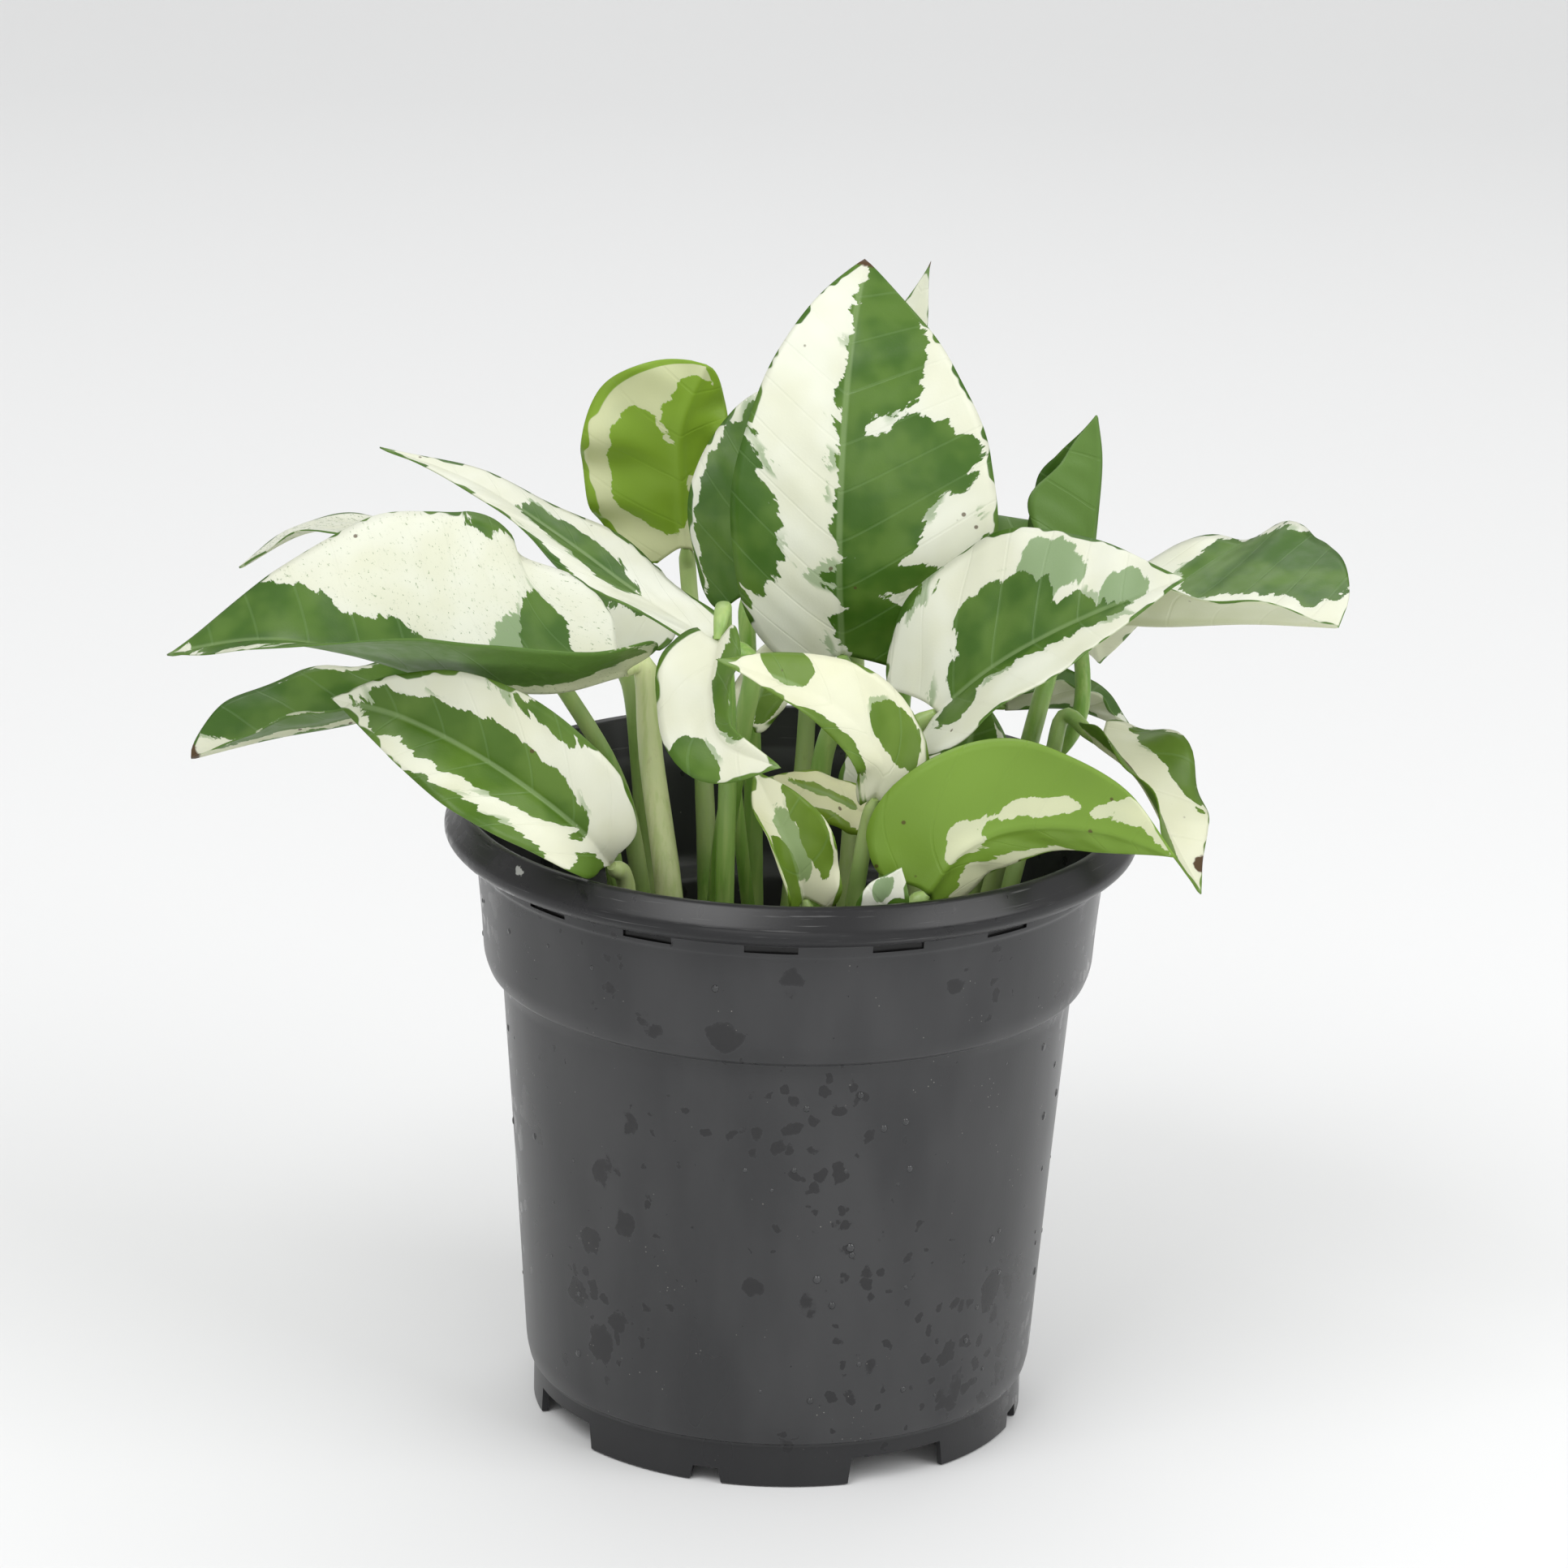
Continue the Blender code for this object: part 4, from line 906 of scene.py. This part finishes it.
def makePot(material):
    outline = softOutline(pot["outside"] + pot["inside"])
    piece = meshObject("nurseryPot", turned(outline, pot["segments"]), material)
    cutters = []
    for i in range(pot["slotCount"]):
        builder = bmesh.new()
        bmesh.ops.create_cube(builder, size=1.0)
        size = (8 * mm, pot["slotWidth"] * mm, pot["slotHeight"] * mm)
        bmesh.ops.scale(builder, vec=size, verts=builder.verts)
        middle = (pot["slotBottom"] * mm + size[0] / 2, 0, pot["slotMiddle"] * mm)
        bmesh.ops.translate(builder, vec=middle, verts=builder.verts)
        turn = radians(pot["slotTurn"] + i * 360 / pot["slotCount"] - 90)
        bmesh.ops.rotate(builder, cent=(0, 0, 0), matrix=Matrix.Rotation(turn, 3, "Z"), verts=builder.verts)
        cutters.append(cutterObject(f"slot{i}", builder))
    for quarter in range(4):
        for middle, width, height in pot["footGaps"]:
            builder = bmesh.new()
            corners = []
            for z, spread in ((-1, width / 2), (height, width / 2 - 1.0)):
                for side in (-1, 1):
                    for reach in (38, 47):
                        a = radians(middle + quarter * 90 + side * spread - 90)
                        corners.append(builder.verts.new((reach * cos(a) * mm, reach * sin(a) * mm, z * mm)))
            bmesh.ops.convex_hull(builder, input=corners)
            cutters.append(cutterObject(f"gap{quarter}{middle}", builder))
    holes = [(0.0, 0.0)]
    for i in range(pot["drainCount"]):
        a = 2 * pi * (i + 0.5) / pot["drainCount"]
        holes.append((pot["drainRing"] * cos(a), pot["drainRing"] * sin(a)))
    for i, (x, y) in enumerate(holes):
        builder = bmesh.new()
        bmesh.ops.create_cone(builder, cap_ends=True, segments=40, radius1=pot["drainRadius"] * mm,
                              radius2=pot["drainRadius"] * mm, depth=6 * mm)
        bmesh.ops.translate(builder, vec=(x * mm, y * mm, 7 * mm), verts=builder.verts)
        cutters.append(cutterObject(f"drain{i}", builder))
    group = bpy.data.collections.new("potCutters")
    for cutter in cutters:
        group.objects.link(cutter)
    cut = piece.modifiers.new("cuts", "BOOLEAN")
    cut.operation, cut.solver, cut.operand_type, cut.collection = "DIFFERENCE", "EXACT", "COLLECTION", group
    piece = bakeModifiers(piece)
    for cutter in cutters:
        bpy.data.objects.remove(cutter)
    bpy.data.collections.remove(group)
    piece.data.transform(Matrix.Translation(potAxis))
    piece.data.materials.clear()
    piece.data.materials.append(material)
    piece.data.shade_smooth()
    piece.data.set_sharp_from_angle(angle=radians(40))
    return piece


drops = {
    "perSquareMetre": 260 / 0.012, "smallest": 0.00028, "largest": 0.0008, "seed": 11, "segments": 96,
    "walls": [[(49.36, 76.0), (47.18, 48.0), (44.73, 14.0)],    # radius and height of the body
              [(54.2, 98.0), (53.38, 90.0), (52.95, 84.0)]],    # and of the band above it
}


def dropTree():
    # low domes of water, gathered in drifts
    g = ShapeGraph("waterDrops", Density=5000.0, Smallest=0.0003, Largest=0.0008, Seed=11, Skin=None)
    where = g.take("ShaderNodeTexNoise", {"Scale": 38.0})
    gather = g.take("ShaderNodeMapRange", {"Value": where, "From Min": 0.52, "From Max": 0.66})
    points = g.scatter(Density=g.times(g.given["Density"], gather))
    ball = g.take("GeometryNodeMeshUVSphere", {"Segments": 8, "Rings": 5, "Radius": 1.0})
    size = g.take("FunctionNodeRandomValue", {2: g.given["Smallest"], 3: g.given["Largest"],
                                              "Seed": g.given["Seed"]}, out=1, data_type="FLOAT")
    beads = g.take("GeometryNodeInstanceOnPoints", {"Points": points["Points"], "Instance": ball,
                                                    "Rotation": points["Rotation"],
                                                    "Scale": g.scaled((1.0, 1.15, 0.42), size)})
    return g.finish(g.take("GeometryNodeSetShadeSmooth", {0: beads}))


def makeDrops(material):
    # scattered over a plain copy of the outer wall
    builder = bmesh.new()
    for outline in drops["walls"]:
        rings = [ringOfPoints(builder, potAxis, r * mm, z * mm, drops["segments"]) for r, z in outline]
        for a, b in zip(rings, rings[1:]):
            joinRings(builder, b, a)
    piece = meshObject("waterDrops", builder, material)
    return applyTree(piece, dropTree(), Density=drops["perSquareMetre"], Smallest=drops["smallest"],
                     Largest=drops["largest"], Seed=drops["seed"], Skin=material)


def waterMaterial():
    m = Finish("waterFilm")
    patchy = m.ramp(m.noise(m.place(), 200.0), 0.3, 0.7)
    m.finish(Base_Color=m.mix(patchy, (0.02, 0.021, 0.022, 1), (0.035, 0.036, 0.038, 1)), Roughness=0.06)
    m.shader.inputs["Specular IOR Level"].default_value = 0.6
    return m.material


def potMaterial():
    m = Finish("blackPotPlastic")
    place = m.place()
    local = m.vector("ADD", place, tuple(-potAxis))
    # damp marks: uneven round spots gathered in drifts
    drift = m.noise(m.stretch(local, (1.0, 1.0, 0.7)), 34.0, 2.0)
    wobble = m.noise(local, 300.0, 4.0, out="Color")
    bent = m.vector("ADD", local, m.scaled(wobble, 0.0042))
    spots = m.voronoi(m.stretch(bent, (1.0, 1.0, 0.85)), 290.0)
    size = m.ramp(drift, 0.44, 0.66, 0.06, 0.42)
    wet = m.ramp(m.minus(size, spots), 0.0, 0.10)
    big = m.voronoi(m.stretch(bent, (1.0, 1.0, 0.8)), 105.0)
    bigSize = m.ramp(m.noise(local, 45.0, 1.0), 0.50, 0.68, 0.0, 0.36)
    wet = m.most(wet, m.ramp(m.minus(bigSize, big), 0.0, 0.07))
    film = m.ramp(m.noise(m.stretch(local, (1.0, 1.0, 0.35)), 55.0, 3.0), 0.3, 0.7)
    dry = m.mix(film, (0.027, 0.0275, 0.029, 1), (0.042, 0.0425, 0.044, 1))
    colour = m.mix(wet, dry, pot["wetColour"])
    dustPlace = m.ramp(m.noise(local, 130.0, 1.0), 0.60, 0.66)
    dust = m.times(m.ramp(m.voronoi(local, 900.0), 0.12, 0.06), dustPlace)
    colour = m.mix(m.times(dust, 0.55), colour, (0.35, 0.34, 0.31, 1))
    # painted shade: the slots are painted near-black inside, where shade falls in the recesses
    height = m.part(local, "Z")
    radius = m.vector("LENGTH", m.vector("MULTIPLY", local, (1.0, 1.0, 0.0)), (0, 0, 0), out="Value")
    fromSlot = m.math("ABSOLUTE", m.minus(height, pot["slotMiddle"] * mm))
    nearSlot = m.ramp(fromSlot, 0.00075, 0.00070)
    paintedSlotShade = m.times(nearSlot, m.ramp(radius, 0.05475, 0.05460))
    paintedSlotShade = m.times(paintedSlotShade, m.ramp(radius, 0.05395, 0.05405))
    colour = m.mix(paintedSlotShade, colour, (0.002, 0.002, 0.002, 1))
    # rim: thin scratches that run round it (real wear), and painted shade that darkens the rim
    rimScratchAndShadeZone = m.ramp(height, 0.1025, 0.1035)
    scratch = m.ramp(m.noise(m.stretch(local, (60.0, 60.0, 2600.0)), 1.0, 3.0, 0.7), 0.60, 0.68)
    scratch = m.times(scratch, rimScratchAndShadeZone)
    # painted shade: the rim is painted darker than the body
    colour = m.mix(m.times(rimScratchAndShadeZone, 0.85), colour, (0.008, 0.008, 0.009, 1))
    # painted shade: the foot ring near the floor is painted darker
    paintedFootShade = m.ramp(height, 0.0082, 0.0070)
    colour = m.mix(m.times(paintedFootShade, 0.7), colour, (0.010, 0.010, 0.011, 1))
    colour = m.mix(m.times(scratch, 0.22), colour, (0.22, 0.22, 0.22, 1))
    knock = m.vector("DISTANCE", local, (-0.0458, -0.0372, 0.1085), out="Value")
    tear = m.times(m.minus(m.noise(local, 900.0, 3.0), 0.5), 0.0042)
    torn = m.plus(knock, tear)
    scuff = m.ramp(torn, 0.0011, 0.0007)
    colour = m.mix(scuff, colour, (0.42, 0.42, 0.41, 1))
    roughness = m.minus(0.27, m.times(wet, 0.12))
    roughness = m.plus(roughness, m.times(film, 0.08))
    roughness = m.plus(roughness, m.times(scratch, 0.15))
    fine = m.noise(local, 3000.0, 2.0)
    ripple = m.noise(m.stretch(local, (1.0, 1.0, 0.3)), 45.0, 2.0)
    bump = m.bump(fine, 0.10, 0.0001)
    bump = m.bump(ripple, 0.25, 0.0008, bump)
    m.finish(Base_Color=colour, Roughness=roughness, Normal=bump)
    m.shader.inputs["Specular IOR Level"].default_value = 0.34
    return m.material


soil = {"crumbs": 2600, "crumbSize": (0.7, 2.6), "seed": 4, "segments": 96}


def makeSoilBody(material):
    # the root ball: a plug with an uneven top
    low, high = soilLow.z, soilHigh.z
    builder = bmesh.new()
    rings = []
    outline = [(0.0, low), (42.1 * mm, low), (42.7 * mm, 11.4 * mm), (45.3 * mm, 48 * mm)]
    outline += [(46.8 * mm, high - 2 * mm)]
    outline += [((46.8 - 2.6 * i) * mm, high) for i in range(0, 18)]
    count = soil["segments"]
    for r, z in outline:
        ring = []
        for k in range(count):
            a = 2 * pi * k / count
            x, y = r * cos(a), r * sin(a)
            top = z
            if z >= high - 1e-6:
                top = high - 1.2 * mm + 1.2 * mm * noise.noise(Vector((x * 110, y * 110, 2.0)))
                top += 0.6 * mm * noise.noise(Vector((x * 420, y * 420, 7.0)))
            ring.append(builder.verts.new((potAxis.x + x, potAxis.y + y, top)))
        rings.append(ring)
    for a, b in zip(rings, rings[1:]):
        joinRings(builder, a, b)
    bmesh.ops.remove_doubles(builder, verts=builder.verts, dist=1e-5)
    ends = [e for e in builder.edges if e.is_boundary]
    if ends:
        bmesh.ops.holes_fill(builder, edges=ends)
    bmesh.ops.recalc_face_normals(builder, faces=builder.faces)
    return meshObject("pottingSoil", builder, material)


def crumbTree():
    # scatters crumbs over the upward faces of the soil
    g = ShapeGraph("soilCrumbs", Density=300000.0, Smallest=0.0004, Largest=0.0013, Seed=4, Skin=None)
    facing = g.take("ShaderNodeSeparateXYZ", {0: g.take("GeometryNodeInputNormal")}, out="Z")
    upward = g.take("FunctionNodeCompare", {0: facing, 1: 0.5}, operation="GREATER_THAN")
    points = g.scatter(Selection=upward, Density=g.given["Density"])
    lump = g.take("GeometryNodeMeshIcoSphere", {"Radius": 1.0, "Subdivisions": 1})
    low, high = [g.take("ShaderNodeCombineXYZ", dict.fromkeys(range(3), g.given[name]))
                 for name in ("Smallest", "Largest")]
    size = g.take("FunctionNodeRandomValue", {0: low, 1: high, "Seed": g.given["Seed"]},
                  data_type="FLOAT_VECTOR")
    turn = g.take("FunctionNodeRandomValue", {1: (6.28, 6.28, 6.28)}, data_type="FLOAT_VECTOR")
    crumbs = g.take("GeometryNodeInstanceOnPoints", {"Points": points["Points"], "Instance": lump,
                                                     "Rotation": turn, "Scale": size})
    together = g.add("GeometryNodeJoinGeometry")
    for shape in (g.given["Geometry"], crumbs):
        g.link(shape, together.inputs[0])
    return g.finish(together.outputs[0])


def soilMaterial():
    m = Finish("pottingMix")
    place = m.place()
    grains = m.noise(place, 900.0, 5.0, 0.7)
    colour = m.mix(m.ramp(grains, 0.3, 0.7), (0.012, 0.008, 0.005, 1), (0.062, 0.038, 0.022, 1))
    fibres = m.ramp(m.noise(m.stretch(place, (300.0, 1500.0, 1500.0)), 1.0, 3.0), 0.62, 0.72)
    colour = m.mix(m.times(fibres, 0.6), colour, (0.16, 0.09, 0.045, 1))
    whitePlace = m.ramp(m.noise(place, 120.0, 0.0), 0.68, 0.70)
    white = m.times(m.ramp(m.voronoi(place, 260.0), 0.22, 0.16), whitePlace)
    colour = m.mix(white, colour, (0.55, 0.53, 0.48, 1))
    bump = m.bump(grains, 0.9, 0.0012)
    m.finish(Base_Color=colour, Normal=bump, Roughness=m.ramp(grains, 0.3, 0.7, 0.98, 0.82))
    return m.material


makeCamera()
makeStudio()
print("camera and studio ready")

potPiece = makePot(potMaterial())
finishPiece(potPiece, "pot")
dropPiece = makeDrops(waterMaterial())
finishPiece(dropPiece, "pot")
print("pot ready")

earth = soilMaterial()
soilPiece = makeSoilBody(earth)
soilPiece = applyTree(soilPiece, crumbTree(), Density=soil["crumbs"] / (pi * 0.0468 ** 2),
                      Smallest=soil["crumbSize"][0] / 2 * mm, Largest=soil["crumbSize"][1] / 2 * mm,
                      Seed=soil["seed"], Skin=earth)
finishPiece(soilPiece, "soil")
print("soil ready")

leafSkin, stemSkin, tubeTree = leafMaterial(), stemMaterial(), stemTree()
for number, name in enumerate(leaves):
    finishPiece(makeLeaf(name, number, leafSkin), "leaf_" + name)
    finishPiece(makeStem(name, tubeTree, stemSkin), "stem_" + name)
print("leaves and stems ready")
